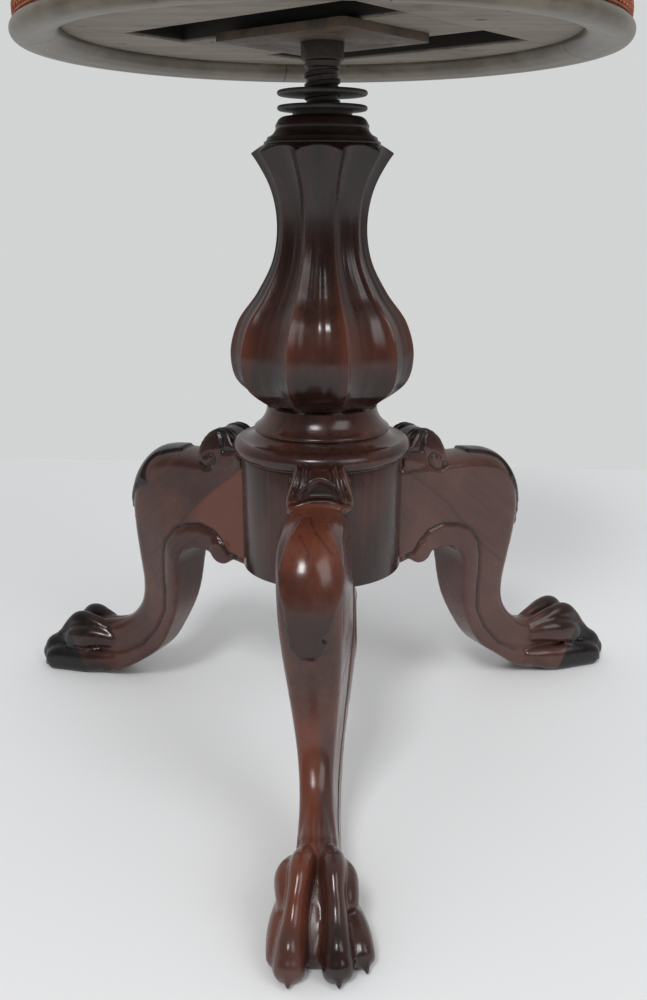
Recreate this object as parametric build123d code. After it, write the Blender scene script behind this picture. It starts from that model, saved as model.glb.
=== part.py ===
from build123d import *
import math
import os

# Revolving piano stool. Millimetres, +Z up. The origin is on the floor, on the axis of the
# column and the screw. The front leg points along -Y.

# ---------------------------------------------------------------- driving dimensions
# pedestal
drum_radius = 54.0
drum_bottom = 126.4
drum_top = 203.0
torus_radius = 59.2
moulding_top = 237.0
neck_radius = 36.2
vase_height = 162.0
bulb_radius = 60.3
waist_radius = 29.0
lip_radius = 48.5
lip_slope_height = 5.5
lip_slope_reach = 8.7
lobe_count = 10
first_arris_angle = 15.0
collar_radius = 36.0
collar_height = 16.0

# screw, nut and washers
screw_radius = 11.0
running_clearance = 0.05
screw_engagement = 140.0
screw_boss_radius = 13.2
screw_boss_height = 10.5
nut_square = 26.0
nut_flange_radius = 18.3
nut_flange_height = 3.2
nut_length = 58.0
washer_radius = 27.6
washer_thickness = 3.0
washer_gap = 5.6
screw_show = 16.2
lift_down = 5.0
well_floor_gap = 8.0

# seat frame
seat_radius = 180.0
rim_width = 27.5
rim_height = 10.5
board_thickness = 18.0
frame_inset = 7.0
frame_angle = 50.0
opening_length = 181.0
opening_width = 173.0
opening_offset_along = 15.2
opening_offset_across = -6.2
plank_width = 76.0
plank_offset = 12.0
tongue_length = 11.0
tongue_thickness = 6.0
tongue_stop = 12.0
rim_joint_angle = 10.0
rim_segments = 4

# screw plate and its wood screws
plate_length = 100.0
plate_width = 84.0
plate_thickness = 5.0
rivet_radius = 8.0
wood_screw_radius = 2.5
wood_screw_head_radius = 5.0
wood_screw_length = 18.0

# upholstery
webbing_width = 50.0
webbing_thickness = 1.6
webbing_pitch = 62.0
webbing_strips = 5
base_cloth_thickness = 1.0
cover_thickness = 2.0
cover_side_height = 40.0
side_swell = 1.6
shoulder_reach = 20.0
shoulder_rise = 10.0
crown_height = 27.0
braid_height = 9.5
braid_thickness = 2.6

# legs
leg_angles = {"leg_front": -90.0, "leg_right": 29.5, "leg_left": 152.7}
leg_sways = {"leg_front": -7.6, "leg_right": 0.0, "leg_left": 0.0}
foot_sway_share = 0.38
ear_half_width = 19.5
roll_radius = 12.0
roll_half_width = 20.8
roll_reach = 16.5
roll_lift = 3.0
floor_cut = 100.0
dovetail_neck = 16.0
dovetail_root = 22.0
dovetail_depth = 14.0
dovetail_top_gap = 8.0

# clearances
glue_gap = 0.15
seat_gap = 0.3


# ---------------------------------------------------------------- helpers
def turned(*edges):
    """Solid of revolution about Z from the edges of a half section (radius, height)."""
    return revolve(Plane.XZ * make_face(Curve() + list(edges)), Axis.Z)


def rod(radius, low, high):
    """Plain cylinder between two heights."""
    return Pos(0, 0, low) * extrude(Circle(radius), high - low)


def slab(length, width, low, high):
    """Rectangular block about the axis between two heights."""
    return Pos(0, 0, low) * extrude(Rectangle(length, width), high - low)


# ---------------------------------------------------------------- derived heights
vase_bottom = moulding_top
vase_top = vase_bottom + vase_height
collar_bottom = vase_top
collar_top = collar_bottom + collar_height
nut_top = collar_top + nut_flange_height
lower_washer_bottom = nut_top
upper_washer_bottom = lower_washer_bottom + washer_thickness + washer_gap
boss_bottom = upper_washer_bottom + washer_thickness + screw_show
plate_bottom = boss_bottom + screw_boss_height
frame_bottom = plate_bottom + plate_thickness
rim_top = frame_bottom
rim_underside_height = rim_top - rim_height
frame_top = frame_bottom + board_thickness
rim_inner_radius = seat_radius - rim_width
frame_radius = seat_radius - frame_inset
screw_bottom = collar_top - screw_engagement
well_bottom = screw_bottom - lift_down - well_floor_gap
tenon_radius = 17.0
tenon_bottom = drum_bottom + 40.0


# ---------------------------------------------------------------- pedestal
def vase_line():
    """Line of the arrises from the foot of the bulb to the flared lip, as (radius, height)."""
    shape = [
        (0.746 * bulb_radius, 0.034),
        (0.945 * bulb_radius, 0.1019),
        (bulb_radius, 0.1914),
        (0.9204 * bulb_radius, 0.3272),
        (0.6915 * bulb_radius, 0.4506),
        (1.0966 * waist_radius, 0.5741),
        (waist_radius, 0.716),
        (1.1379 * waist_radius, 0.8426),
        (0.8309 * lip_radius, 0.929),
        (lip_radius, 1.0),
    ]
    points = [(neck_radius + 1.0, vase_bottom + 1.0)]
    points += [(radius, vase_bottom + share * vase_height) for radius, share in shape]
    return Spline(*points)


def flute_depth(radius, share):
    """Hollow of a flute at its middle. It deepens towards the flared lip."""
    return 0.085 * radius + 3.2 * share ** 6


def lobed_section(radius, height, depth):
    """Horizontal section of the vase: arrises joined by hollow arcs."""
    step = 360.0 / lobe_count
    arcs = []
    for i in range(lobe_count):
        start = math.radians(first_arris_angle - 90.0 + i * step)
        middle = start + math.radians(step / 2)
        end = start + math.radians(step)
        chord_middle = radius * math.cos(math.radians(step / 2))
        hollow = chord_middle - depth
        arcs.append(
            ThreePointArc(
                (radius * math.cos(start), radius * math.sin(start)),
                (hollow * math.cos(middle), hollow * math.sin(middle)),
                (radius * math.cos(end), radius * math.sin(end)),
            )
        )
    return Pos(0, 0, height) * make_face(Curve() + arcs)


def carved_vase():
    """Ten-fluted vase, turned tenon below, square mortise and screw well from above."""
    line = vase_line()
    sections = []
    stations = 15
    for i in range(stations):
        share = i / (stations - 1)
        point = line @ share
        depth = flute_depth(point.X, share) * min(1, 0.2 + 8 * share)
        sections.append(lobed_section(point.X, point.Y, depth))
    body = loft(sections)
    clear_radius = bulb_radius + 9.7
    clear_drop = lip_slope_height * (clear_radius - collar_radius) / lip_slope_reach
    envelope = turned(
        Polyline(
            (0, vase_bottom),
            (neck_radius + 1.0, vase_bottom),
            (clear_radius, vase_bottom + 6.0),
            (clear_radius, vase_top - clear_drop),
            (collar_radius, vase_top),
            (0, vase_top),
            close=True,
        )
    )
    body = body & envelope
    body = body + rod(neck_radius - 1.0, vase_bottom, vase_bottom + 3.0)
    body = body + rod(tenon_radius, tenon_bottom, vase_bottom + 3.0)
    mortise = nut_square + 2 * glue_gap
    body = body - slab(mortise, mortise, nut_top - nut_length, vase_top + 10)
    return body - rod(screw_radius + 2.0, well_bottom, vase_top)


def base_moulding():
    """Turned moulding between the drum and the vase: neck, cove, quirk, ogee and torus."""
    bore = tenon_radius + glue_gap
    top = moulding_top
    torus_height = 5.6
    step = turned(
        Line((bore, drum_top), (drum_radius, drum_top)),
        Line((drum_radius, drum_top), (drum_radius + 1.0, drum_top + 1.2)),
        ThreePointArc(
            (drum_radius + 1.0, drum_top + 1.2),
            (torus_radius, drum_top + 1.2 + torus_height),
            (drum_radius + 1.0, drum_top + 1.2 + 2 * torus_height),
        ),
        ThreePointArc(
            (drum_radius + 1.0, drum_top + 1.2 + 2 * torus_height),
            (48.0, drum_top + 13.4),
            (43.2, drum_top + 17.2),
        ),
        Line((43.2, drum_top + 17.2), (44.4, drum_top + 17.6)),
        Line((44.4, drum_top + 17.6), (44.4, drum_top + 20.2)),
        ThreePointArc((44.4, drum_top + 20.2), (38.4, top - 7.5), (neck_radius, top)),
        Line((neck_radius, top), (bore, top)),
        Line((bore, top), (bore, drum_top)),
    )
    return step


def top_collar():
    """Stepped and coved turned cap of the vase, with a square hole for the nut."""
    low = collar_bottom
    ring = turned(
        Polyline((0, low), (collar_radius, low), (collar_radius, low + 1.2)),
        Line((collar_radius, low + 1.2), (collar_radius - 1.5, low + 2.0)),
        Line((collar_radius - 1.5, low + 2.0), (collar_radius - 2.2, low + 4.0)),
        ThreePointArc((collar_radius - 2.2, low + 4.0), (29.6, low + 6.6), (28.4, low + 9.5)),
        Line((28.4, low + 9.5), (27.9, low + 12.0)),
        ThreePointArc((27.9, low + 12.0), (26.1, low + 14.8), (23.0, collar_top)),
        Line((23.0, collar_top), (0, collar_top)),
        Line((0, collar_top), (0, low)),
    )
    hole = nut_square + 2 * glue_gap
    return ring - slab(hole, hole, low - 1, collar_top + 1)


def leg_place(name):
    """Turns a piece drawn along +X to the direction of one leg."""
    return Rot(0, 0, leg_angles[name])


def dovetail(name, gap):
    """Tongue of a leg, widest at its root in the drum. The gap grows it into its socket."""
    face = drum_radius
    deep = face - dovetail_depth - gap
    shape = make_face(
        Polyline(
            (face + 6, -dovetail_neck / 2 - gap),
            (face + 6, dovetail_neck / 2 + gap),
            (face - 3, dovetail_neck / 2 + gap),
            (deep, dovetail_root / 2 + gap),
            (deep, -dovetail_root / 2 - gap),
            (face - 3, -dovetail_neck / 2 - gap),
            close=True,
        )
    )
    top = drum_top - dovetail_top_gap + gap
    return leg_place(name) * Pos(0, 0, drum_bottom) * extrude(shape, top - drum_bottom)


def drum_block():
    """Turned drum with a bore for the vase's tenon and a dovetail socket for each leg."""
    drum = rod(drum_radius, drum_bottom, drum_top)
    drum = drum - rod(tenon_radius + glue_gap, tenon_bottom - 1.0, drum_top + 1)
    for name in leg_angles:
        drum = drum - dovetail(name, glue_gap)
    return drum


# ---------------------------------------------------------------- legs
# stations along the leg from the drum to the ball of the paw: outer point, inner point, half
# width in front, half width behind, depth of the rounded front, share of the leg's sway. A
# point is (distance out from the drum's face, height).
leg_stations = [
    ((-4.0, 192.0), (-4.0, 122.0), 18.5, 20.0, 6.0, 0.3),
    ((20.0, 192.5), (20.0, 128.0), 19.0, 20.5, 7.0, 0.4),
    ((42.0, 192.8), (37.0, 133.5), 19.0, 21.0, 8.0, 0.6),
    ((64.0, 193.0), (51.0, 131.0), 19.0, 21.0, 10.0, 0.85),
    ((82.0, 189.5), (57.5, 124.0), 19.0, 21.0, 12.0, 1.0),
    ((95.5, 177.0), (60.0, 116.0), 18.8, 21.0, 14.0, 1.05),
    ((103.5, 157.0), (60.0, 108.0), 18.2, 19.8, 15.0, 1.0),
    ((104.2, 136.0), (59.8, 98.0), 17.0, 18.9, 15.0, 0.92),
    ((101.8, 112.0), (61.0, 87.0), 15.2, 17.8, 13.0, 0.75),
    ((99.5, 88.0), (65.5, 74.5), 13.0, 16.0, 11.0, 0.62),
    ((102.0, 72.0), (73.5, 55.0), 11.0, 13.6, 9.5, 0.55),
    ((109.5, 61.0), (85.0, 36.0), 9.6, 12.0, 8.0, 0.5),
    ((119.5, 51.5), (102.5, 17.5), 9.0, 11.2, 8.0, 0.45),
    ((133.0, 45.5), (120.5, 4.0), 10.5, 11.2, 9.0, 0.4),
    ((150.0, 46.0), (141.0, -1.5), 13.0, 10.5, 11.0, 0.38),
    ((166.0, 35.0), (161.0, -1.5), 13.5, 10.0, 11.0, 0.38),
]

# toes from knuckle to tip: (distance out from the drum's face, sideways place, height, half
# width, half height)
inner_toe = [
    (134.0, 4.0, 36.0, 4.5, 7.0),
    (144.0, 5.5, 39.0, 7.0, 9.0),
    (154.0, 6.4, 41.0, 8.2, 10.3),
    (164.5, 7.4, 37.0, 7.8, 10.3),
    (175.0, 8.8, 25.5, 7.4, 9.2),
    (184.0, 10.0, 15.5, 8.6, 11.0),
    (193.0, 10.8, 9.5, 7.4, 10.0),
    (200.5, 11.2, 5.5, 3.4, 6.0),
]
outer_toe = [
    (128.0, 5.5, 22.0, 4.0, 6.0),
    (139.0, 10.6, 25.0, 6.4, 9.0),
    (149.5, 13.4, 27.5, 7.7, 10.4),
    (159.0, 15.0, 25.0, 7.3, 10.1),
    (168.0, 17.2, 16.8, 7.3, 9.3),
    (176.0, 19.4, 10.0, 8.6, 10.5),
    (184.5, 20.2, 7.0, 8.2, 9.4),
    (191.5, 20.6, 4.2, 4.4, 6.0),
]


def leg_section(outer, inner, front_half, rear_half, nose, sway):
    """Section across the leg: flat back, sides that draw in, rounded front moved sideways."""
    span = math.dist(outer, inner)
    along = ((outer[0] - inner[0]) / span, (outer[1] - inner[1]) / span)
    shoulder = span - nose
    face = make_face(
        Curve()
        + [
            Line((0, rear_half), (0, -rear_half)),
            Line((0, -rear_half), (shoulder, sway - front_half)),
            ThreePointArc((shoulder, sway - front_half), (span, sway), (shoulder, sway + front_half)),
            Line((shoulder, sway + front_half), (0, rear_half)),
        ]
    )
    plane = Plane(
        origin=(inner[0], 0, inner[1]),
        x_dir=(along[0], 0, along[1]),
        z_dir=(-along[1], 0, along[0]),
    )
    return plane * face


def toe(stations, side):
    """One toe of the paw, lofted through ovals from the knuckle down to the tip."""
    ovals = []
    last = len(stations) - 1
    for i, (radial, sideways, height, half_width, half_height) in enumerate(stations):
        before = stations[max(i - 1, 0)]
        after = stations[min(i + 1, last)]
        run = Vector(after[0] - before[0], side * (after[1] - before[1]), after[2] - before[2])
        across = Vector(0, 0, 1).cross(run)
        plane = Plane(origin=(radial, side * sideways, height), x_dir=across, z_dir=run)
        ovals.append(plane * Ellipse(half_width, half_height))
    return loft(ovals)


def scroll_ear():
    """Volute that stands on the leg beside the torus of the moulding."""
    top = drum_top
    profile = make_face(
        Curve()
        + [
            Line((-2.0, top - 15.0), (-2.0, top)),
            Line((-2.0, top), (6.5, top + 2.0)),
            ThreePointArc((6.5, top + 2.0), (9.0, top + 6.7), (14.0, top + 9.8)),
            ThreePointArc((14.0, top + 9.8), (26.9, top + 7.2), (32.5, top - 3.5)),
            ThreePointArc((32.5, top - 3.5), (32.0, top - 8.8), (27.5, top - 12.5)),
            Line((27.5, top - 12.5), (-2.0, top - 15.0)),
        ]
    )
    half = ear_half_width
    return Pos(0, half, 0) * (Plane.XZ * extrude(profile, 2 * half))


def lower_scroll():
    """Roll that ends the arch under the leg, close to the drum."""
    half = roll_half_width
    roll = extrude(Circle(roll_radius), 2 * half)
    return Pos(roll_reach, half, drum_bottom + roll_lift) * (Rot(90, 0, 0) * roll)


def leg(name):
    """Cabriole leg with scrolls and a four-toed paw, cut to the drum and its moulding."""
    sway = leg_sways[name]
    sections = [leg_section(*station[:-1], station[-1] * sway) for station in leg_stations]
    body = loft(sections)
    foot_shift = Pos(0, foot_sway_share * sway, 0)
    body = body + foot_shift * scroll_ear()
    body = body + lower_scroll()
    for side in (-1, 1):
        body = body + foot_shift * toe(inner_toe, side)
        body = body + foot_shift * toe(outer_toe, side)
    body = leg_place(name) * Pos(drum_radius, 0, 0) * body
    body = body - rod(2 * seat_radius, -floor_cut, 0)
    body = body - rod(drum_radius + glue_gap, 0, drum_top + 30)
    body = body - rod(torus_radius + seat_gap, drum_top - 0.2, drum_top + 40)
    return body + dovetail(name, 0.0)


# ---------------------------------------------------------------- screw and nut
def screw_nut():
    """Square iron nut with a round flange, running on the screw."""
    body = slab(nut_square, nut_square, nut_top - nut_length + 1.0, collar_top)
    body = body + rod(nut_flange_radius, collar_top, nut_top)
    return body - rod(screw_radius + running_clearance, nut_top - nut_length, nut_top + 1)


def washer(low):
    """Leather washer with rounded edges."""
    inner = screw_radius + seat_gap
    edge = washer_thickness / 2
    high = low + washer_thickness
    flat = washer_radius - edge
    return turned(
        Line((inner, low), (flat, low)),
        ThreePointArc((flat, low), (washer_radius, low + edge), (flat, high)),
        Line((flat, high), (inner, high)),
        Line((inner, high), (inner, low)),
    )


def seat_screw():
    """Iron screw at its outside radius, with a boss under the plate and a riveted end in it."""
    shaft = rod(screw_radius, screw_bottom, boss_bottom)
    shaft = chamfer(shaft.edges().sort_by(Axis.Z)[0], 2.0)
    boss = rod(screw_boss_radius, boss_bottom, plate_bottom)
    rivet = rod(rivet_radius, plate_bottom, frame_bottom)
    return shaft + boss + rivet


# ---------------------------------------------------------------- seat frame
frame_turn = Rot(0, 0, frame_angle)
along_low = opening_offset_along - opening_length / 2
along_high = opening_offset_along + opening_length / 2
across_high = -opening_offset_across + opening_width / 2
across_low = -opening_offset_across - opening_width / 2
plank_low = plank_offset - plank_width / 2
plank_high = plank_offset + plank_width / 2
screw_places = [(-18.0, 34.0), (26.0, -26.0), (26.0, 34.0)]


def frame_block(low_x, high_x, low_y, high_y, low_z=frame_bottom, high_z=frame_top):
    """Block in the frame's own directions: X along the full boards, Y across them."""
    size = (high_x - low_x, high_y - low_y, high_z - low_z)
    centre = ((low_x + high_x) / 2, (low_y + high_y) / 2, (low_z + high_z) / 2)
    return Pos(*centre) * Box(*size)


def tongue(low_x, high_x, gap):
    """Tongues at both ends of a cross board, or with a gap the grooves for them."""
    middle = (frame_bottom + frame_top) / 2
    half = tongue_thickness / 2 + gap
    low_y = across_low - tongue_length - gap
    high_y = across_high + tongue_length + gap
    return frame_block(low_x - gap, high_x + gap, low_y, high_y, middle - half, middle + half)


def full_board(side):
    """Board that runs the whole chord of the seat, grooved for the cross boards."""
    size = frame_radius + 5
    if side > 0:
        board = frame_block(-size, size, across_high, size)
    else:
        board = frame_block(-size, size, -size, across_low)
    board = board & rod(frame_radius, frame_bottom, frame_top)
    grooved = rod(frame_radius - tongue_stop + glue_gap, frame_bottom, frame_top)
    for low_x, high_x in ((-size, along_low), (plank_low, plank_high), (along_high, size)):
        board = board - (tongue(low_x, high_x, glue_gap) & grooved)
    return frame_turn * board


def cross_board(low_x, high_x):
    """Board between the two full boards, with a tongue at each end."""
    board = frame_block(low_x, high_x, across_low, across_high)
    board = board & rod(frame_radius, frame_bottom, frame_top)
    return board + (tongue(low_x, high_x, 0.0) & rod(frame_radius - tongue_stop, frame_bottom, frame_top))


def wood_screw(grow):
    """Countersunk wood screw, head down. A positive value grows it into its hole."""
    head = wood_screw_head_radius
    shank = wood_screw_radius
    depth = head - shank
    return turned(
        Polyline(
            (0, 0),
            (head + grow, 0),
            (shank + grow, depth),
            (shank + grow, wood_screw_length - 3.0),
            (0, wood_screw_length + grow),
            close=True,
        )
    )


def cross_plank():
    """Plank that carries the screw plate."""
    plank = cross_board(plank_low, plank_high)
    for x, y in screw_places:
        plank = plank - Pos(x, y, plate_bottom) * wood_screw(running_clearance)
    return frame_turn * plank


def screw_plate():
    """Iron plate at the head of the screw, with countersunk holes."""
    plate = slab(plate_width, plate_length, plate_bottom, frame_bottom)
    plate = fillet(plate.edges().filter_by(Axis.Z), 4.0)
    plate = plate - rod(rivet_radius + running_clearance, plate_bottom - 1, frame_bottom + 1)
    for x, y in screw_places:
        plate = plate - Pos(x, y, plate_bottom) * wood_screw(running_clearance)
    return frame_turn * plate


def plate_screws():
    """Wood screws that hold the plate to the plank."""
    screws = [frame_turn * Pos(x, y, plate_bottom) * wood_screw(0.0) for x, y in screw_places]
    return Compound(children=screws)


def rim_segment(index):
    """Quarter of the moulded rim: round nose, hollowed underside, rounded inner lip."""
    lip = rim_inner_radius
    out = seat_radius
    low = rim_underside_height
    nose = (rim_top - low) / 2
    ring = make_face(
        Curve()
        + [
            Line((lip, rim_top), (out - 3.0, rim_top)),
            ThreePointArc((out - 3.0, rim_top), (out, low + nose), (out - nose, low + 0.3)),
            ThreePointArc((out - nose, low + 0.3), (out - 9.0, low), (out - 13.0, low + 0.7)),
            ThreePointArc((out - 13.0, low + 0.7), (out - 18.0, low + 2.4), (lip + 4.0, low + 3.0)),
            ThreePointArc(
                (lip + 4.0, low + 3.0),
                (lip + 1.0, low + 4.0),
                (lip, low + 6.0),
            ),
            Line((lip, low + 6.0), (lip, rim_top)),
        ]
    )
    span = 360.0 / rim_segments
    start = rim_joint_angle + index * span
    return Rot(0, 0, start) * revolve(Plane.XZ * ring, Axis.Z, span)


# ---------------------------------------------------------------- upholstery
def webbing(across, low):
    """One layer of webbing strips over the frame."""
    strips = []
    for i in range(webbing_strips):
        place = (i - (webbing_strips - 1) / 2) * webbing_pitch
        half = math.sqrt((frame_radius - 4.0) ** 2 - (abs(place) + webbing_width / 2) ** 2)
        size = (2 * half, webbing_width, webbing_thickness)
        turn = Rot(0, 0, frame_angle + (90 if across else 0))
        strips.append(turn * Pos(0, place, low + webbing_thickness / 2) * Box(*size))
    return Compound(children=strips)


web_bottom = frame_top
cross_web_bottom = web_bottom + webbing_thickness
cloth_bottom = cross_web_bottom + webbing_thickness
pad_bottom = cloth_bottom + base_cloth_thickness
cover_bottom = rim_top + 0.2
cover_shoulder = cover_bottom + cover_side_height
cover_radius = frame_radius + seat_gap + cover_thickness


def pad_outline(shrink, low):
    """Half section of the domed seat: upright foot, swelling side, round shoulder, crown."""
    foot = cover_radius - shrink
    side_low = (foot, cover_bottom + cover_side_height * 0.3)
    side_middle = (foot + side_swell, cover_bottom + cover_side_height * 0.65)
    side_high = (foot - side_swell, cover_bottom + cover_side_height)
    shoulder_middle = (foot - shoulder_reach * 0.35, cover_shoulder + shoulder_rise * 0.62 - shrink * 0.5)
    shoulder_end = (foot - shoulder_reach, cover_shoulder + shoulder_rise - shrink * 0.8)
    top = cover_shoulder + crown_height - shrink
    rise = top - shoulder_end[1]
    crown_radius = (shoulder_end[0] ** 2 + rise ** 2) / (2 * rise)
    middle_drop = crown_radius - math.sqrt(crown_radius ** 2 - (shoulder_end[0] / 2) ** 2)
    crown_middle = (shoulder_end[0] / 2, top - middle_drop)
    return [
        Line((0, low), (foot, low)),
        Line((foot, low), side_low),
        ThreePointArc(side_low, side_middle, side_high),
        ThreePointArc(side_high, shoulder_middle, shoulder_end),
        ThreePointArc(shoulder_end, crown_middle, (0, top)),
        Line((0, top), (0, low)),
    ]


def stuffing_pad():
    """Horsehair pad on the base cloth, under the cover."""
    pad = turned(*pad_outline(cover_thickness + seat_gap, cover_bottom))
    return pad - rod(seat_radius, cover_bottom - 1.0, pad_bottom)


def seat_cover():
    """Cloth cover: a skin over the pad and down the side of the frame."""
    outer = turned(*pad_outline(0.0, cover_bottom))
    inner = turned(*pad_outline(cover_thickness, cover_bottom - 1.0))
    return outer - inner


def braid():
    """Gimp band round the bottom edge of the cover."""
    inner = cover_radius + 0.1
    edge = inner + braid_thickness - 0.8
    low = cover_bottom
    high = low + braid_height
    return turned(
        Line((inner, low), (edge, low)),
        ThreePointArc((edge, low), (inner + braid_thickness, (low + high) / 2), (edge, high)),
        Line((edge, high), (inner, high)),
        Line((inner, high), (inner, low)),
    )


# ---------------------------------------------------------------- all pieces
pieces = {
    "drum_block": drum_block(),
    "base_moulding": base_moulding(),
    "carved_vase": carved_vase(),
    "top_collar": top_collar(),
    "screw_nut": screw_nut(),
    "lower_washer": washer(lower_washer_bottom),
    "upper_washer": washer(upper_washer_bottom),
    "seat_screw": seat_screw(),
    "screw_plate": screw_plate(),
    "plate_screws": plate_screws(),
    "cross_plank": cross_plank(),
    "full_board_right": full_board(-1),
    "full_board_left": full_board(1),
    "cross_board_front": frame_turn * cross_board(-frame_radius - 5, along_low),
    "cross_board_back": frame_turn * cross_board(along_high, frame_radius + 5),
    "webbing_lengthwise": webbing(False, web_bottom),
    "webbing_crosswise": webbing(True, cross_web_bottom),
    "base_cloth": rod(frame_radius - 2.0, cloth_bottom, pad_bottom),
    "stuffing_pad": stuffing_pad(),
    "seat_cover": seat_cover(),
    "braid": braid(),
}
for leg_name in leg_angles:
    pieces[leg_name] = leg(leg_name)
for segment in range(rim_segments):
    pieces[f"rim_segment_{segment + 1}"] = rim_segment(segment)

os.makedirs("parts", exist_ok=True)
for node, solid in pieces.items():
    export_step(solid, f"parts/{node}.step")
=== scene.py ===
"""Revolving piano stool: fluted vase column, carved cabriole legs, round padded seat on a screw."""
import math
from contextlib import contextmanager

import bmesh
import bpy
import numpy as np
from mathutils import Matrix, Vector


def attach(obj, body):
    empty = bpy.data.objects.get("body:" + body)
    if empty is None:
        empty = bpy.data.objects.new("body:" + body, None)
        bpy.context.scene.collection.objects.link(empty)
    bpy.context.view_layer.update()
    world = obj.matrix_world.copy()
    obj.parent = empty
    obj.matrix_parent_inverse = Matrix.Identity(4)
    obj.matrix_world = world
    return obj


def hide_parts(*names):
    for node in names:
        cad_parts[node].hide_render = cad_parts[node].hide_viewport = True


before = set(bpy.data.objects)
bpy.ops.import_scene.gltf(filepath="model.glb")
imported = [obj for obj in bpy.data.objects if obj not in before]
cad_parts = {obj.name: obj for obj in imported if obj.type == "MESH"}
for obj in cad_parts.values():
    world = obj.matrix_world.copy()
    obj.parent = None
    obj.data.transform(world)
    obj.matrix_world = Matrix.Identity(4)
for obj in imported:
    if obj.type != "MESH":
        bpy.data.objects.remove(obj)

bl_info = {
    "name": "Revolving piano stool",
    "version": (1, 0, 0),
    "blender": (4, 5, 0),
    "location": "View3D > Sidebar > Piano stool",
    "description": "Builds the dressed model of a revolving piano stool around its packed solids",
    "category": "Object",
}

MM = 0.001
AXIS_STEPS = 192
DOUBLES = 1e-6

# edges that bend by more than so many degrees are shaded sharp
VASE_CREASE = 28
IRON_CREASE = 35
BOARD_CREASE = 35
TURNED_CREASE = 40
WEB_CREASE = 40
COVER_CREASE = 50
TRIM_CREASE = 60
NO_CREASE = 180

# ------------------------------------------------------------------ measures of the solids, mm
DRUM_RADIUS = 54.0
DRUM_BOTTOM = 126.4
DRUM_TOP = 203.0
TORUS_RADIUS = 59.2
NECK_RADIUS = 36.2
VASE_BOTTOM = 237.0
VASE_TOP = 399.0
VASE_TOP_SLOPE = (21.1 - 5.5) / (70 - 44.7)
FLUTES = 10
FIRST_ARRIS = math.radians(-75.0)
COLLAR_RADIUS = 36.0
COLLAR_TOP = 415.0
WASHER_LOWS = (418.2, 426.8)
SCREW_RADIUS = 11.0
SCREW_CORE = 9.7
THREAD_MARGIN = 4.0
SCREW_BOTTOM = 275.0
SLOT = (12.0, 1.0, 2.4)
WOOD_SCREWS = ((-18.0, 34.0), (26.0, -26.0), (26.0, 34.0))
BOSS_RADIUS = 13.2
BOSS_BOTTOM = 446.0
PLATE_BOTTOM = 456.5
FRAME_BOTTOM = 461.5
FRAME_TOP = 479.5
RIM_LOW = 451.0
RIM_INNER = 152.5
# half the width of a joint of the rim, in radians
RIM_JOINT = 0.0014
SEAT_RADIUS = 180.0
COVER_RADIUS = 175.3
COVER_LOW = 461.9
CLOTH_TOP = 483.9
FRAME_ANGLE = math.radians(50.0)
LEG_ANGLES = {"leg_front": -90.0, "leg_right": 29.5, "leg_left": 152.7}
LEG_SWAY = -7.6
FOOT_SWAY_SHARE = 0.38


# ------------------------------------------------------------------ node trees
class Value:
    """A socket of a node tree, or a number, that takes part in arithmetic."""

    def __init__(self, graph, socket):
        self.graph = graph
        self.socket = socket

    def math(self, operation, *others):
        return self.graph.node("ShaderNodeMath", {"operation": operation}, dict(enumerate((self,) + others)))

    def __add__(self, other):
        return self.math("ADD", other)

    __radd__ = __add__

    def __mul__(self, other):
        return self.math("MULTIPLY", other)

    __rmul__ = __mul__

    def __sub__(self, other):
        return self.math("SUBTRACT", other)

    def __rsub__(self, other):
        return self.graph.node("ShaderNodeMath", {"operation": "SUBTRACT"}, {0: other, 1: self})

    def __truediv__(self, other):
        return self.math("DIVIDE", other)

    def clamped(self):
        return self.graph.node("ShaderNodeClamp", {}, {0: self})

    def step(self, low, high):
        """Smooth step from 0 at low to 1 at high."""
        settings = {"interpolation_type": "SMOOTHSTEP"}
        return self.graph.node("ShaderNodeMapRange", settings, {0: self, 1: low, 2: high, 3: 0.0, 4: 1.0})


class Graph:
    """Builds nodes in one tree; every node comes from the method node."""

    def __init__(self, tree):
        self.tree = tree

    def node(self, kind, settings=None, inputs=None, output=0):
        """New node: its settings first, then its sockets. Returns one output, or with None the node."""
        made = self.tree.nodes.new(kind)
        for key, value in (settings or {}).items():
            setattr(made, key, value)
        for key, value in (inputs or {}).items():
            socket = made.inputs[key]
            if isinstance(value, Value):
                self.tree.links.new(value.socket, socket)
            elif value is not None:
                opaque = socket.type == "RGBA" and len(value) == 3
                socket.default_value = (*value, 1.0) if opaque else value
        return made if output is None else Value(self, made.outputs[output])

    def mix(self, factor, first, second):
        """Mix of two colours."""
        return self.node("ShaderNodeMix", {"data_type": "RGBA"}, {0: factor, 6: first, 7: second}, 2)

    def place(self, scale=(1, 1, 1), turn=(0, 0, 0), attribute=None):
        """Object coordinates or a vector attribute of the piece, turned and scaled."""
        if attribute:
            source = self.node("ShaderNodeAttribute", {"attribute_name": attribute}, {}, 1)
        else:
            source = self.node("ShaderNodeTexCoord", {}, {}, 3)
        return self.node("ShaderNodeMapping", {}, {0: source, 2: turn, 3: scale})

    def noise(self, place, scale, detail, roughness):
        inputs = {"Vector": place, "Scale": scale, "Detail": detail, "Roughness": roughness}
        return self.node("ShaderNodeTexNoise", {}, inputs)

    def attribute(self, name):
        return self.node("ShaderNodeAttribute", {"attribute_name": name}, {}, 2)


def new_material(name, paint):
    """Material whose Principled node gets what paint returns: {socket: value}."""
    material = bpy.data.materials.new(name)
    material.use_nodes = True
    tree = material.node_tree
    tree.nodes.clear()
    graph = Graph(tree)
    shader = graph.node("ShaderNodeBsdfPrincipled", {}, paint(graph))
    graph.node("ShaderNodeOutputMaterial", {}, {0: shader}, None)
    return material


def shade(colour, factor):
    """Colour made lighter or darker, no channel over 1."""
    return tuple(min(1, c * factor) for c in colour)


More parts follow.
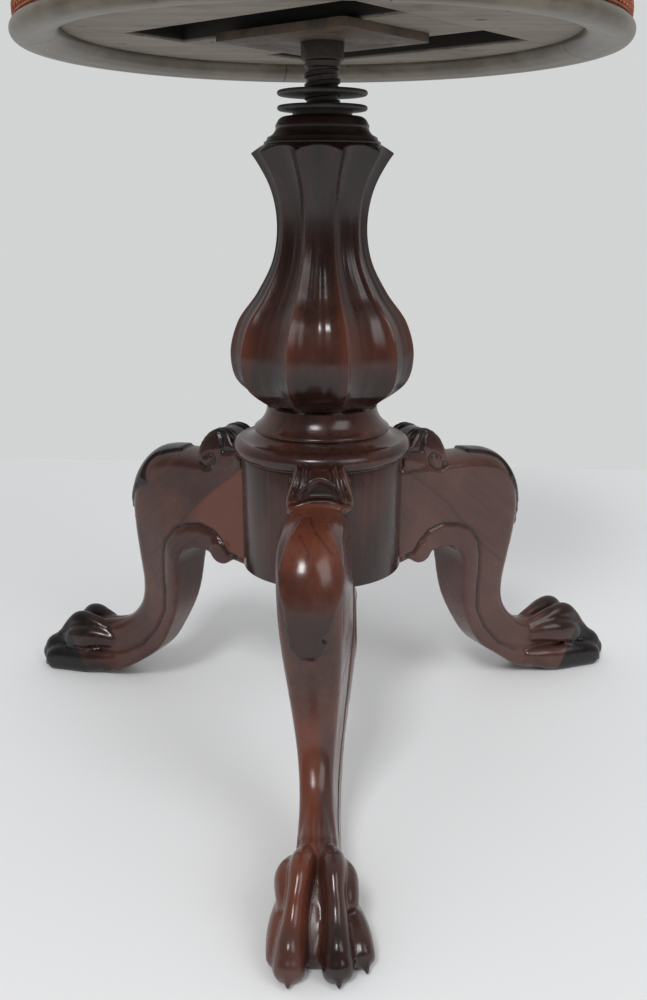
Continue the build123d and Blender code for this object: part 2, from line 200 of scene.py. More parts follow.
def bump(graph, height, strength, distance):
    return graph.node("ShaderNodeBump", {}, {"Height": height, "Strength": strength, "Distance": distance})


# ------------------------------------------------------------------ finishes
# colour of worn wood under a haze of old polish, also laid on the legs as painted sheen, and the painted
# shade of the wells between the boards
HAZE_AND_SHEEN_WOOD = (0.088, 0.041, 0.034)
WELL_SHADE = (0.012, 0.010, 0.008)


def polished_mahogany(name, deep, warm, warmth, gloss, grain_attribute=None):
    """French-polished mahogany: deep colour in the hollows, much of it painted shade; warm where the polish
    is thin and where light is painted on; a grey haze that is partly old polish, partly painted sheen.
    """

    def paint(graph):
        if grain_attribute:
            along = graph.place(attribute=grain_attribute)
            fine = graph.place((9, 160, 160), attribute=grain_attribute)
        else:
            along = graph.place((1, 1, 0.45))
            fine = graph.place((160, 160, 9))
        cloud = graph.noise(along, 26.0, 3.0, 0.55)
        streak = graph.noise(fine, 1.6, 5.0, 0.6)
        pores = graph.noise(fine, 6.0, 2.0, 0.7)
        tone = graph.attribute("tone")
        hollow = graph.attribute("hollow")
        figure = cloud.step(0.38, 0.72) * 0.70 + streak.step(0.35, 0.75) * 0.40
        # tone warms the colour where the polish is thin, and as painted light along the vase's arrises and on
        # the lit left side of the front foot
        warm_part = (figure * warmth + tone).clamped()
        # the grey mixed in here is partly a haze of old polish and partly painted sheen
        warm_with_haze = graph.mix(graph.attribute("haze_and_sheen"), warm, HAZE_AND_SHEEN_WOOD)
        colour = graph.mix(warm_part, deep, warm_with_haze)
        colour = graph.mix(pores.step(0.60, 0.75) * 0.35, colour, (0.010, 0.005, 0.004))
        # painted shade: near black in creases, flutes, the ear's cup and at the floor; dark also in the
        # carved lines and the black toe tips
        colour = graph.mix(hollow.clamped() * 0.9, colour, (0.004, 0.003, 0.003))
        smear = graph.noise(graph.place(), 55.0, 4.0, 0.6).step(0.35, 0.75)
        rough = smear * 0.14 + gloss + hollow.clamped() * 0.08 + graph.attribute("dull") * 0.1
        relief = bump(graph, streak * 0.4 + pores * 0.6, 0.25, 0.00012)
        return {"Base Color": colour, "Roughness": rough, "Normal": relief}

    return new_material(name, paint)


def raw_board(name, turn, light, dark):
    """Old unpolished softwood with long grain, stains and a few dark spots; painted shade makes it near black
    where it rises into the wells.
    """

    def paint(graph):
        long = graph.place((7, 120, 120), (0, 0, turn))
        grain = graph.noise(long, 1.2, 6.0, 0.65)
        rays = graph.noise(long, 5.0, 3.0, 0.6)
        stain = graph.noise(graph.place(), 16.0, 4.0, 0.6)
        spots = graph.noise(graph.place(), 70.0, 2.0, 0.4)
        colour = graph.mix(grain.step(0.32, 0.70), dark, light)
        colour = graph.mix(rays.step(0.55, 0.75) * 0.35, colour, (0.10, 0.065, 0.042))
        colour = graph.mix(stain.step(0.50, 0.78) * 0.55, colour, (0.075, 0.056, 0.044))
        colour = graph.mix(spots.step(0.72, 0.78) * 0.8, colour, (0.03, 0.022, 0.018))
        height = graph.node("ShaderNodeSeparateXYZ", {}, {0: graph.place()}, 2)
        # painted shade: near black above the frame's underside, where the boards' sides rise into the wells
        well_shade = height.step((FRAME_BOTTOM + 0.6) * MM, (FRAME_BOTTOM + 2.2) * MM)
        colour = graph.mix(well_shade, colour, WELL_SHADE)
        relief = bump(graph, grain * 0.6 + rays * 0.4, 0.28, 0.0004)
        return {
            "Base Color": colour,
            "Roughness": stain.step(0.3, 0.8) * 0.2 + 0.58,
            "Normal": relief,
            "Specular IOR Level": 0.35,
        }

    return new_material(name, paint)


def rim_wood(name):
    """Moulded rim: worn stain over turned wood, satin."""

    def paint(graph):
        fine = graph.noise(graph.place((60, 60, 220)), 1.5, 5.0, 0.6)
        cloud = graph.noise(graph.place(), 22.0, 4.0, 0.6)
        scuff = graph.noise(graph.place((1, 1, 3)), 120.0, 3.0, 0.7)
        colour = graph.mix(cloud.step(0.35, 0.70), (0.070, 0.055, 0.036), (0.146, 0.123, 0.084))
        colour = graph.mix(fine.step(0.45, 0.75) * 0.55, colour, (0.058, 0.040, 0.027))
        colour = graph.mix(scuff.step(0.66, 0.76) * 0.40, colour, (0.215, 0.188, 0.140))
        dings = graph.noise(graph.place(), 90.0, 2.0, 0.4)
        colour = graph.mix(dings.step(0.70, 0.76) * 0.6, colour, (0.035, 0.026, 0.020))
        relief = bump(graph, fine * 0.5 + scuff * 0.5, 0.35, 0.0002)
        return {
            "Base Color": colour,
            "Roughness": cloud * 0.22 + 0.26,
            "Normal": relief,
            "Coat Weight": 0.25,
            "Coat Roughness": 0.2,
        }

    return new_material(name, paint)


def forged_iron(name, base, rust, rust_share):
    """Dark wrought iron with a little rust and oil."""

    def paint(graph):
        coarse = graph.noise(graph.place(), 60.0, 5.0, 0.6)
        fine = graph.noise(graph.place(), 420.0, 3.0, 0.6)
        mask = coarse.step(0.62 - rust_share, 0.80 - rust_share * 0.5)
        colour = graph.mix(mask, base, rust)
        colour = graph.mix(fine.step(0.45, 0.75) * 0.4, colour, (0.018, 0.015, 0.014))
        return {
            "Base Color": colour,
            "Metallic": (1 - mask) * 0.75,
            "Roughness": mask * 0.30 + fine * 0.12 + 0.36,
            "Normal": bump(graph, coarse * 0.5 + fine * 0.5, 0.5, 0.0004),
        }

    return new_material(name, paint)


def pressed_leather(name):
    """Old black washer leather."""

    def paint(graph):
        inputs = {"Vector": graph.place(), "Scale": 900.0}
        cells = graph.node("ShaderNodeTexVoronoi", {"feature": "SMOOTH_F1"}, inputs)
        cloud = graph.noise(graph.place(), 90.0, 4.0, 0.6)
        colour = graph.mix(cloud.step(0.35, 0.75), (0.014, 0.012, 0.012), (0.050, 0.040, 0.036))
        return {
            "Base Color": colour,
            "Roughness": cloud * 0.25 + 0.42,
            "Normal": bump(graph, cells, 0.5, 0.0003),
        }

    return new_material(name, paint)


def woven(name, warp, weft, pitch, depth, fuzz, sheen=0.0):
    """Plain weave of two yarns on the piece's own cloth coordinates, in millimetres."""

    def paint(graph):
        source = graph.node("ShaderNodeAttribute", {"attribute_name": "weave"}, {}, 1)
        wobble = graph.node("ShaderNodeTexNoise", {}, {"Vector": source, "Scale": 0.35, "Detail": 2.0}, 1)
        shift = graph.node("ShaderNodeVectorMath", {"operation": "SCALE"}, {0: wobble, 3: pitch * 0.35})
        shifted = graph.node("ShaderNodeVectorMath", {"operation": "ADD"}, {0: source, 1: shift})
        waves = []
        for axis in (0, 1):
            place = graph.node("ShaderNodeSeparateXYZ", {}, {0: shifted}, axis)
            waves.append((place * (math.pi / pitch)).math("SINE"))
        over = (waves[0] * waves[1]).step(-0.25, 0.25)
        cover = over * waves[1].math("ABSOLUTE") + (1 - over) * waves[0].math("ABSOLUTE")
        fibre = graph.noise(source, 3.2 / pitch, 3.0, 0.7)
        slub = graph.noise(source, 0.10, 3.0, 0.6)
        # on the cover the second colour is that of the lit loops, so the loops lying over carry painted light
        colour = graph.mix(over, warp, weft)
        # painted shade where the yarns dip under their crossings
        colour = graph.mix(cover.step(0.0, 0.75) * 0.7 + 0.3, shade(warp, 0.30), colour)
        colour = graph.mix(fibre.step(0.35, 0.75) * 0.45, colour, shade(weft, 1.7))
        colour = graph.mix(slub.step(0.40, 0.75) * 0.35, colour, shade(warp, 0.55))
        height = cover * 0.8 + fibre * fuzz
        return {
            "Base Color": colour,
            "Roughness": fibre * 0.1 + 0.85,
            "Normal": bump(graph, height, 0.9, depth),
            "Sheen Weight": sheen,
            "Sheen Roughness": 0.4,
            "Specular IOR Level": 0.25,
        }

    return new_material(name, paint)


# ------------------------------------------------------------------ mesh helpers
def linked(name, data):
    """Object that holds data, in the scene."""
    made = bpy.data.objects.new(name, data)
    bpy.context.scene.collection.objects.link(made)
    return made


def shaped(holder):
    """Plain mesh that the modifiers of an object make; the object goes."""
    depsgraph = bpy.context.evaluated_depsgraph_get()
    mesh = bpy.data.meshes.new_from_object(holder.evaluated_get(depsgraph))
    holder.modifiers.clear()
    bpy.data.objects.remove(holder)
    return mesh


@contextmanager
def editing(mesh):
    """Edit mesh of a mesh, written back with every face turned outwards."""
    work = bmesh.new()
    work.from_mesh(mesh)
    yield work
    bmesh.ops.recalc_face_normals(work, faces=work.faces)
    work.to_mesh(mesh)
    work.free()
    mesh.update()


def finish_piece(name, mesh, material, body, replaced, crease):
    """Object at the origin that rides on a body, with its finish and the nodes it stands for."""
    mesh.name = name
    piece = linked(name, mesh)
    mesh.materials.clear()
    mesh.materials.append(material)
    for polygon in mesh.polygons:
        polygon.material_index = 0
    mesh.shade_smooth()
    if crease < NO_CREASE:
        mesh.set_sharp_from_angle(angle=math.radians(crease))
    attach(piece, body)
    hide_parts(*replaced)
    return piece


def mesh_from(points, faces):
    """Mesh from points in millimetres."""
    mesh = bpy.data.meshes.new("piece")
    places = [tuple(p) for p in np.asarray(points, float) * MM]
    mesh.from_pydata(places, [], [tuple(int(i) for i in f) for f in faces])
    mesh.validate()
    mesh.update()
    return mesh


def outward(mesh):
    """Merges doubles and turns every face outwards."""
    with editing(mesh) as work:
        bmesh.ops.remove_doubles(work, verts=work.verts, dist=DOUBLES)
    return mesh


def grid_faces(rows, count, ring=False, loop=False):
    """Quads between rows of count points. A ring joins its last row to its first; a loop closes each row."""
    faces = []
    for i in range(rows if ring else rows - 1):
        j = (i + 1) % rows
        for k in range(count if loop else count - 1):
            m = (k + 1) % count
            faces.append((i * count + k, j * count + k, j * count + m, i * count + m))
    return faces


def bell(offset, width):
    """Soft peak, 1 where offset is 0."""
    return np.exp(-((offset / width) ** 2))


def line_run(points):
    """Length along a line of points up to each of them."""
    return np.concatenate([[0], np.cumsum(np.linalg.norm(np.diff(points, axis=0), axis=1))])


def arc(start, middle, end, count=12):
    """Points of the arc through three points of a half section."""
    (ax, ay), (bx, by), (cx, cy) = start, middle, end
    d = 2 * (ax * (by - cy) + bx * (cy - ay) + cx * (ay - by))
    a, b, c = ax * ax + ay * ay, bx * bx + by * by, cx * cx + cy * cy
    ux = (a * (by - cy) + b * (cy - ay) + c * (ay - by)) / d
    uy = (a * (cx - bx) + b * (ax - cx) + c * (bx - ax)) / d
    radius = math.hypot(ax - ux, ay - uy)
    first = math.atan2(ay - uy, ax - ux)
    mid = math.atan2(by - uy, bx - ux)
    last = math.atan2(cy - uy, cx - ux)
    while mid - first > math.pi:
        mid -= 2 * math.pi
    while mid - first < -math.pi:
        mid += 2 * math.pi
    if mid > first:
        while last < first:
            last += 2 * math.pi
    else:
        while last > first:
            last -= 2 * math.pi
    turns = np.linspace(first, last, count)
    return [(ux + radius * math.cos(t), uy + radius * math.sin(t)) for t in turns]


def ease_corners(profile, amount=0.35):
    """Cuts each sharp corner of a profile with two points, so that it catches the light."""
    points = [np.array(p, float) for p in profile]
    out = [points[0]]
    for before, here, after in zip(points, points[1:], points[2:]):
        a, b = before - here, after - here
        la, lb = np.linalg.norm(a), np.linalg.norm(b)
        if min(la, lb) < 1e-6:
            continue
        bend = math.degrees(math.acos(np.clip(np.dot(a, b) / (la * lb), -1, 1)))
        if bend < 155:
            cut = min(amount, la * 0.4, lb * 0.4)
            p, q = here + a / la * cut, here + b / lb * cut
            out += [p, (p + q + 2 * here) / 4, q]
        else:
            out.append(here)
    out.append(points[-1])
    return [tuple(p) for p in out]


def lathe(profile, steps=AXIS_STEPS, start=0.0, span=2 * math.pi, wobble=None):
    """Mesh of a half section (radius, height) turned about Z. A closed profile ends where it began."""
    whole = span == 2 * math.pi
    columns = steps if whole else steps + 1
    points = []
    for i in range(columns):
        turn = start + span * i / steps
        for r, z in profile:
            if wobble:
                r, z = wobble(r, z, turn)
            points.append((r * math.cos(turn), r * math.sin(turn), z))
    count = len(profile)
    faces = grid_faces(columns, count, ring=whole)
    if not whole:
        faces.append(tuple(range(count - 1)))
        faces.append(tuple((columns - 1) * count + k for k in reversed(range(count - 1))))
    return outward(mesh_from(points, faces))


def softened(node, width):
    """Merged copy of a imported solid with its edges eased."""
    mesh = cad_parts[node].data.copy()
    with editing(mesh) as work:
        bmesh.ops.remove_doubles(work, verts=work.verts, dist=DOUBLES)
        bmesh.ops.dissolve_limit(work, angle_limit=math.radians(1.0), verts=work.verts, edges=work.edges)
        sharp = [e for e in work.edges if len(e.link_faces) == 2 and e.calc_face_angle(0) > math.radians(35)]
        settings = {"segments": 2, "affect": "EDGES", "profile": 0.6, "clamp_overlap": True}
        bmesh.ops.bevel(work, geom=sharp, offset=width * MM, **settings)
    return mesh


def hermite(keys, values, at):
    """Smooth curve through values at increasing keys, read at the places at."""
    keys, values, at = np.asarray(keys, float), np.asarray(values, float), np.asarray(at, float)
    slopes = np.gradient(values, keys, axis=0)
    index = np.clip(np.searchsorted(keys, at) - 1, 0, len(keys) - 2)
    width = keys[index + 1] - keys[index]
    t = (at - keys[index]) / width
    shape = (slice(None),) + (None,) * (values.ndim - 1)
    t, width = t[shape], width[shape]
    a, b = values[index], values[index + 1]
    ma, mb = slopes[index] * width, slopes[index + 1] * width
    return (
        (2 * t ** 3 - 3 * t ** 2 + 1) * a
        + (t ** 3 - 2 * t ** 2 + t) * ma
        + (-2 * t ** 3 + 3 * t ** 2) * b
        + (t ** 3 - t ** 2) * mb
    )


def step(x, low, high):
    t = np.clip((x - low) / (high - low), 0, 1)
    return t * t * (3 - 2 * t)


def distance_to_line(points, line):
    """Distance of 2D points to an open line, and the side on which they lie."""
    best = np.full(len(points), 1e9)
    side = np.ones(len(points))
    for a, b in zip(line, line[1:]):
        a, b = np.array(a, float), np.array(b, float)
        along = b - a
        share = np.clip(((points - a) @ along) / (along @ along), 0, 1)
        gap = points - (a + share[:, None] * along)
        distance = np.hypot(gap[:, 0], gap[:, 1])
        turn = np.sign(along[0] * gap[:, 1] - along[1] * gap[:, 0])
        closer = distance < best
        best = np.where(closer, distance, best)
        side = np.where(closer, turn, side)
    return best, side


def set_attribute(mesh, name, values):
    """Stores a number, or a vector, on each point of a mesh."""
    values = np.asarray(values, np.float32)
    kind, key = ("FLOAT", "value") if values.ndim == 1 else ("FLOAT_VECTOR", "vector")
    mesh.attributes.new(name, kind, "POINT").data.foreach_set(key, values.ravel())


def coordinates(mesh, what="co", unit=MM):
    """The places of a mesh's points in millimetres, or their normals with unit 1."""
    values = np.empty(len(mesh.vertices) * 3)
    mesh.vertices.foreach_get(what, values)
    return values.reshape(-1, 3) / unit


def move_points(mesh, co):
    mesh.vertices.foreach_set("co", (co * MM).ravel())
    mesh.update()


def around_axis(co):
    """Distance of each point from the axis and its turn about it."""
    return np.hypot(co[:, 0], co[:, 1]), np.arctan2(co[:, 1], co[:, 0])


def node_group(name, inputs):
    """Geometry Nodes tree with a mesh and other inputs, as {name: socket type}, and the values they bring."""
    tree = bpy.data.node_groups.new(name, "GeometryNodeTree")
    tree.interface.new_socket("Geometry", in_out="INPUT", socket_type="NodeSocketGeometry")
    for label, kind in inputs.items():
        tree.interface.new_socket(label, in_out="INPUT", socket_type=kind)
    tree.interface.new_socket("Geometry", in_out="OUTPUT", socket_type="NodeSocketGeometry")
    graph = Graph(tree)
    entry = graph.node("NodeGroupInput", output=None)
    values = {s.name: Value(graph, s) for s in entry.outputs if s.name}
    return tree, graph, values


def close_group(graph, geometry, material):
    """Ends a tree in Realize Instances and Set Material."""
    real = graph.node("GeometryNodeRealizeInstances", {}, {0: geometry})
    painted = graph.node("GeometryNodeSetMaterial", {}, {0: real, 2: material})
    graph.node("NodeGroupOutput", {}, {0: painted}, None)


def run_group(tree, source_mesh, values):
    """Runs a Geometry Nodes tree on a mesh and returns the resulting plain mesh."""
    holder = linked("holder", source_mesh)
    modifier = holder.modifiers.new("build", "NODES")
    modifier.node_group = tree
    for item in tree.interface.items_tree:
        if item.in_out == "INPUT" and item.name in values:
            modifier[item.identifier] = values[item.name]
    return shaped(holder)


def join_meshes(meshes):
    """One mesh from several, in order."""
    work = bmesh.new()
    for mesh in meshes:
        work.from_mesh(mesh)
    joined = bpy.data.meshes.new("joined")
    work.to_mesh(joined)
    work.free()
    return joined


# ------------------------------------------------------------------ turned column
def moulding_profile():
    """Neck, cove, quirk, ogee and torus, from the foot of the vase down to the drum."""
    low, top = DRUM_TOP, VASE_BOTTOM
    points = [(0.0, top), (NECK_RADIUS, top)]
    points += arc((NECK_RADIUS, top), (38.4, top - 7.5), (44.2, low + 20.4), 18)[1:]
    points += arc((44.4, low + 20.2), (45.0, low + 18.9), (44.3, low + 17.6), 8)
    points += [(43.2, low + 17.1)]
    points += arc((43.3, low + 17.0), (47.6, low + 13.6), (54.6, low + 12.6), 16)[1:]
    points += [(55.3, low + 12.1)]
    points += arc((55.4, low + 12.3), (TORUS_RADIUS, low + 6.8), (55.2, low + 1.3), 28)
    points += [(54.4, low + 0.7), (54.2, low), (0.0, low)]
    return ease_corners(points, 0.3)


def collar_profile():
    """Stepped and coved cap of the vase."""
    low = VASE_TOP
    points = [(0.0, low), (COLLAR_RADIUS, low), (COLLAR_RADIUS, low + 1.2), (34.5, low + 1.9)]
    points += [(33.8, low + 3.9)]
    points += arc((33.6, low + 4.1), (29.8, low + 6.6), (28.5, low + 9.5), 14)
    points += [(29.0, low + 10.1), (28.2, low + 12.0)]
    points += arc((28.0, low + 12.1), (26.1, low + 14.8), (23.0, COLLAR_TOP), 10)
    points += [(0.0, COLLAR_TOP)]
    return ease_corners(points, 0.25)


def drum_profile():
    low, top = DRUM_BOTTOM, DRUM_TOP - 0.1
    return ease_corners([(0.0, low), (DRUM_RADIUS, low), (DRUM_RADIUS, top), (0.0, top)], 0.8)


def washer_profile(low):
    inner, edge = SCREW_RADIUS + 0.3, 1.5
    points = [(inner, low), (27.6 - edge, low)]
    points += arc((27.6 - edge, low), (27.6, low + edge), (27.6 - edge, low + 2 * edge), 10)[1:]
    points += [(inner, low + 2 * edge), (inner, low)]
    return points


def vase_line(count):
    """Line of the arrises from the foot of the bulb to the lip, as (radius, height)."""
    base = VASE_BOTTOM
    keys = [
        (37.2, base + 1.0),
        (45.0, base + 5.5),
        (57.0, base + 16.5),
        (60.3, base + 31.0),
        (55.5, base + 53.0),
        (41.7, base + 73.0),
        (31.8, base + 93.0),
        (29.0, base + 116.0),
        (33.0, base + 136.5),
        (40.3, base + 150.5),
        (48.5, base + 162.0),
    ]
    keys = np.array(keys)
    run = line_run(keys)
    return hermite(run, keys, np.linspace(0, run[-1], count))


def flute_radius(radius, depth, angle):
    """Radius of one hollow flute at an angle from its middle; the arrises have the full radius."""
    half = math.pi / FLUTES
    hollow = radius * math.cos(half) - depth
    centre = (radius ** 2 - hollow ** 2) / (2 * (radius * math.cos(half) - hollow))
    bend = centre - hollow
    return centre * math.cos(angle) - math.sqrt(bend ** 2 - (centre * math.sin(angle)) ** 2)


def vase_sector(rows, columns):
    """One flute of the vase, with its part of the sloped top and of the foot."""
    line = vase_line(rows)
    half = math.pi / FLUTES

    def top(radius):
        """Height of the sloped top of the vase."""
        return VASE_TOP - VASE_TOP_SLOPE * (radius - COLLAR_RADIUS)

    spread = np.linspace(-1, 1, columns)
    angles = half * np.sign(spread) * (1 - (1 - np.abs(spread)) ** 1.35)
    points = []
    for angle in angles:
        column = []
        for k, (radius, z) in enumerate(line):
            share = k / (rows - 1)
            depth = (0.085 * radius + 3.2 * share ** 6) * min(1, 0.12 + 7.0 * share)
            edge = (half - abs(angle)) * radius
            column.append((flute_radius(radius, depth, angle) - 0.30 * bell(edge, 0.55), z))
        end = next((k for k, (r, z) in enumerate(column) if z > top(r)), rows - 1)
        (ra, za), (rb, zb) = column[end - 1], column[end]
        share = (za - top(ra)) / ((za - top(ra)) - (zb - top(rb)))
        rim = (ra + (rb - ra) * share, za + (zb - za) * share)
        side = np.array(column[:end] + [rim])
        run = line_run(side)
        even = hermite(run, side, np.linspace(0, run[-1] - 0.5, rows))
        steps = ((0.35, 0.10), (1.6, 0.0))
        over = [(rim[0] - t, rim[1] + VASE_TOP_SLOPE * t * 0.999 - drop) for t, drop in steps]
        inward = [rim[0] + (34.0 - rim[0]) * t for t in (0.35, 0.7, 1.0)]
        full = [(0.0, VASE_BOTTOM + 0.05), (NECK_RADIUS + 0.4, VASE_BOTTOM + 0.05)]
        full += [tuple(p) for p in even] + over + [(r, top(r)) for r in inward] + [(0.0, VASE_TOP + 1.0)]
        points += [(r * math.cos(angle), r * math.sin(angle), z) for r, z in full]
    return mesh_from(points, grid_faces(columns, len(points) // columns))


def vase_tree():
    """Geometry Nodes tree that sets the flute round the axis and welds its copies."""
    inputs = {"Flutes": "NodeSocketInt", "First turn": "NodeSocketFloat"}
    tree, graph, values = node_group("flutes_round_the_vase", inputs)
    inputs = {"Count": values["Flutes"], "Offset": (0, 0, 0)}
    points = graph.node("GeometryNodeMeshLine", {"mode": "OFFSET"}, inputs)
    turn = graph.node("GeometryNodeInputIndex") / values["Flutes"] * (2 * math.pi) + values["First turn"]
    turned = graph.node("ShaderNodeCombineXYZ", {}, {2: turn})
    inputs = {"Points": points, "Instance": values["Geometry"], "Rotation": turned}
    copies = graph.node("GeometryNodeInstanceOnPoints", {}, inputs)
    real = graph.node("GeometryNodeRealizeInstances", {}, {0: copies})
    welded = graph.node("GeometryNodeMergeByDistance", {}, {"Geometry": real, "Distance": 0.00002})
    close_group(graph, welded, bpy.data.materials["vase_mahogany"])
    return tree


def knife_marks(mesh):
    """Shallow upright waves that the gouge left on the bulb, too slight to show except in its reflections."""
    co = coordinates(mesh)
    radius, turn = around_axis(co)
    z = co[:, 2]
    wave = np.sin(24 * turn + 0.8 * np.sin(z / 31.0)) + 0.8 * np.sin(37 * turn + 1.3 + np.sin(z / 23.0))
    wave += 0.6 * np.sin(61 * turn + z / 40.0) + 0.5 * np.sin(11 * turn + z / 14.0)
    share = step(z, 244.0, 256.0) * (1 - step(z, 335.0, 372.0)) + 0.35 * step(z, 335.0, 360.0)
    share *= step(radius, 20.0, 27.0) * step(z, 396.0, 390.0)
    co[:, :2] *= (1 + 0.16 * wave * share / np.maximum(radius, 1.0))[:, None]
    move_points(mesh, co)


def vase_mesh():
    sector = vase_sector(150, 23)
    values = {"Flutes": FLUTES, "First turn": FIRST_ARRIS + math.pi / FLUTES}
    mesh = outward(run_group(vase_tree(), sector, values))
    knife_marks(mesh)
    co = coordinates(mesh)
    radius, turn = around_axis(co)
    z = co[:, 2]
    phase = np.abs((((turn - FIRST_ARRIS) / (2 * math.pi / FLUTES)) % 1.0) - 0.5) * 2
    # painted light and shade: warmer along the arrises, near black in the middle of each flute low on the
    # vase, under the bulb and towards the lip
    tone = 0.30 * step(phase, 0.7, 1.0) * step(z, 390, 300)
    hollow = 0.35 * step(phase, 0.6, 0.0) * step(z, 300, 360)
    band = step(z, 330, 300) * step(z, 262, 280)
    set_attribute(mesh, "tone", tone + 0.25 * band * step(radius, 40, 58))
    set_attribute(mesh, "hollow", hollow + 0.45 * step(z, 276, 258) + 0.4 * step(z, 350, 385))
    return mesh


# ------------------------------------------------------------------ legs
LEG_STATIONS = [
    ((48.0, 192.0), (48.0, 120.5), 18.5, 20.0, 6.0, 0.3),
    ((74.0, 192.5), (74.0, 124.0), 19.0, 20.5, 7.0, 0.4),
    ((96.0, 192.8), (89.0, 126.5), 19.0, 21.0, 8.0, 0.6),
    ((118.0, 193.0), (100.5, 124.0), 19.0, 21.0, 10.0, 0.85),
    ((136.0, 189.5), (106.0, 118.0), 19.0, 21.0, 12.0, 1.0),
    ((149.5, 177.0), (109.0, 111.0), 18.8, 21.0, 14.0, 1.05),
    ((157.5, 157.0), (109.8, 103.0), 18.2, 19.8, 15.0, 1.0),
    ((158.2, 136.0), (110.6, 95.0), 17.0, 18.9, 15.0, 0.92),
    ((155.8, 112.0), (112.0, 84.5), 15.2, 17.8, 13.0, 0.75),
    ((153.5, 88.0), (115.5, 70.5), 13.0, 16.0, 11.0, 0.62),
    ((155.8, 71.0), (123.8, 52.0), 11.0, 13.8, 9.5, 0.55),
    ((162.5, 59.0), (135.4, 32.5), 9.8, 12.4, 8.0, 0.5),
    ((172.5, 50.0), (155.0, 16.0), 9.8, 11.8, 8.0, 0.45),
    ((185.0, 45.5), (174.5, 6.0), 10.6, 12.0, 8.5, 0.4),
    ((202.0, 42.0), (197.0, 0.0), 11.6, 13.6, 9.0, 0.38),
    ((222.0, 30.0), (216.0, -1.0), 12.4, 16.0, 9.0, 0.38),
]
# forms of the paw from the shank outwards:
# (place along the leg, sideways place, height, half width, half height)
INNER_TOE = [
    (197.0, 5.4, 31.5, 4.2, 5.5),
    (204.0, 6.6, 33.8, 5.8, 7.8),
    (211.0, 7.8, 35.8, 6.7, 9.5),
    (218.0, 8.4, 36.2, 6.9, 10.4),
    (225.5, 9.0, 31.5, 6.0, 9.6),
    (232.0, 10.0, 24.5, 6.0, 9.2),
    (238.5, 10.8, 17.8, 7.1, 10.4),
    (244.5, 11.4, 13.2, 8.0, 11.6),
    (249.5, 11.8, 8.8, 8.3, 10.6),
    (254.0, 12.0, 6.6, 7.9, 8.7),
]
OUTER_KNUCKLE = [
    (199.0, 9.2, 27.5, 4.0, 5.5),
    (206.0, 12.6, 29.2, 5.6, 7.8),
    (213.0, 15.1, 28.6, 6.7, 9.4),
    (219.5, 15.4, 26.2, 6.4, 9.2),
    (226.0, 15.4, 21.5, 5.6, 7.6),
]
OUTER_TOE = [
    (196.0, 9.0, 13.0, 4.5, 6.5),
    (205.0, 13.2, 11.4, 5.8, 9.0),
    (214.0, 15.8, 10.0, 6.8, 10.6),
    (224.0, 17.8, 10.2, 7.4, 11.2),
    (233.0, 19.2, 9.8, 7.6, 10.8),
    (240.0, 20.2, 8.0, 7.2, 9.8),
    (244.6, 20.8, 6.2, 6.6, 8.2),
]
TOE_WEB = [
    (196.0, 0.0, 27.0, 8.0, 12.0),
    (210.0, 0.0, 24.0, 8.5, 13.5),
    (222.0, 0.0, 17.0, 9.0, 13.0),
    (233.0, 0.0, 10.0, 9.0, 10.8),
    (242.5, 0.0, 4.2, 8.5, 7.2),
]
INNER_CLAW = [
    (253.0, 12.1, 10.0, 1.8, 2.0),
    (256.8, 12.3, 7.8, 1.9, 2.3),
    (258.2, 12.4, 4.6, 1.7, 2.0),
    (258.3, 12.4, 1.8, 1.4, 1.5),
]
OUTER_CLAW = [
    (243.0, 21.4, 8.8, 1.7, 2.0),
    (247.0, 22.2, 6.8, 1.8, 2.1),
    (248.4, 22.6, 4.0, 1.6, 1.9),
    (248.5, 22.7, 1.6, 1.3, 1.4),
]
# how much earlier the ridges of the toes begin, so that they run out along the foot
RIDGE_STARTS = {"leg_front": 0.0, "leg_right": 14.0, "leg_left": 14.0}
# how far the inner and the outer toes lean sideways, at the knuckle and at the tip
KNUCKLE_TO_TIP = (25.0, 65.0)
FOOT_LEANS = {
    "leg_front": ((1.2, -1.1), (-0.5, 2.6)),
    "leg_right": ((0.0, 0.0), (0.0, 0.0)),
    "leg_left": ((1.0, 2.5), (1.0, 2.5)),
}
FOOT_REACH = {"leg_front": 1.0, "leg_right": 1.0, "leg_left": 0.875}
SOLE_LIFT = {"leg_front": 0.0, "leg_right": 6.0, "leg_left": 2.5}
FOOT_RISE = {"leg_front": 1.02, "leg_right": 1.15, "leg_left": 1.04}
DARK_TIPS = {"leg_front": 0.0, "leg_right": 1.0, "leg_left": 1.0}
SEEN_SIDE = {"leg_front": 0.0, "leg_right": -1.0, "leg_left": 1.0}
LEG_TONES = {"leg_front": 0.32, "leg_right": 0.62, "leg_left": 0.22}
# share of the grey haze, partly painted sheen, on each leg
LEG_HAZE_AND_SHEEN = {"leg_front": 0.0, "leg_right": 0.85, "leg_left": 0.4}
PATCH_TONES = {"leg_front": 0.8, "leg_right": 0.12, "leg_left": 0.9}
EAR_SHIFT = -1.3
EAR_HALF = 20.8
ROLL_HALF = 21.0
ROLL_RADIUS = 9.6
ROLL_CENTRE = (70.5, 127.4)
WRIST = 182.0
CLAW_START = 210.0
# how far the rounded end of a toe or claw stands out, as a share of its half width
BLUNTNESS = 0.45
SOLE_MIDDLE = 150.0
SOLE_RUN = 23.0
GRAIN_LEAN = math.radians(38)
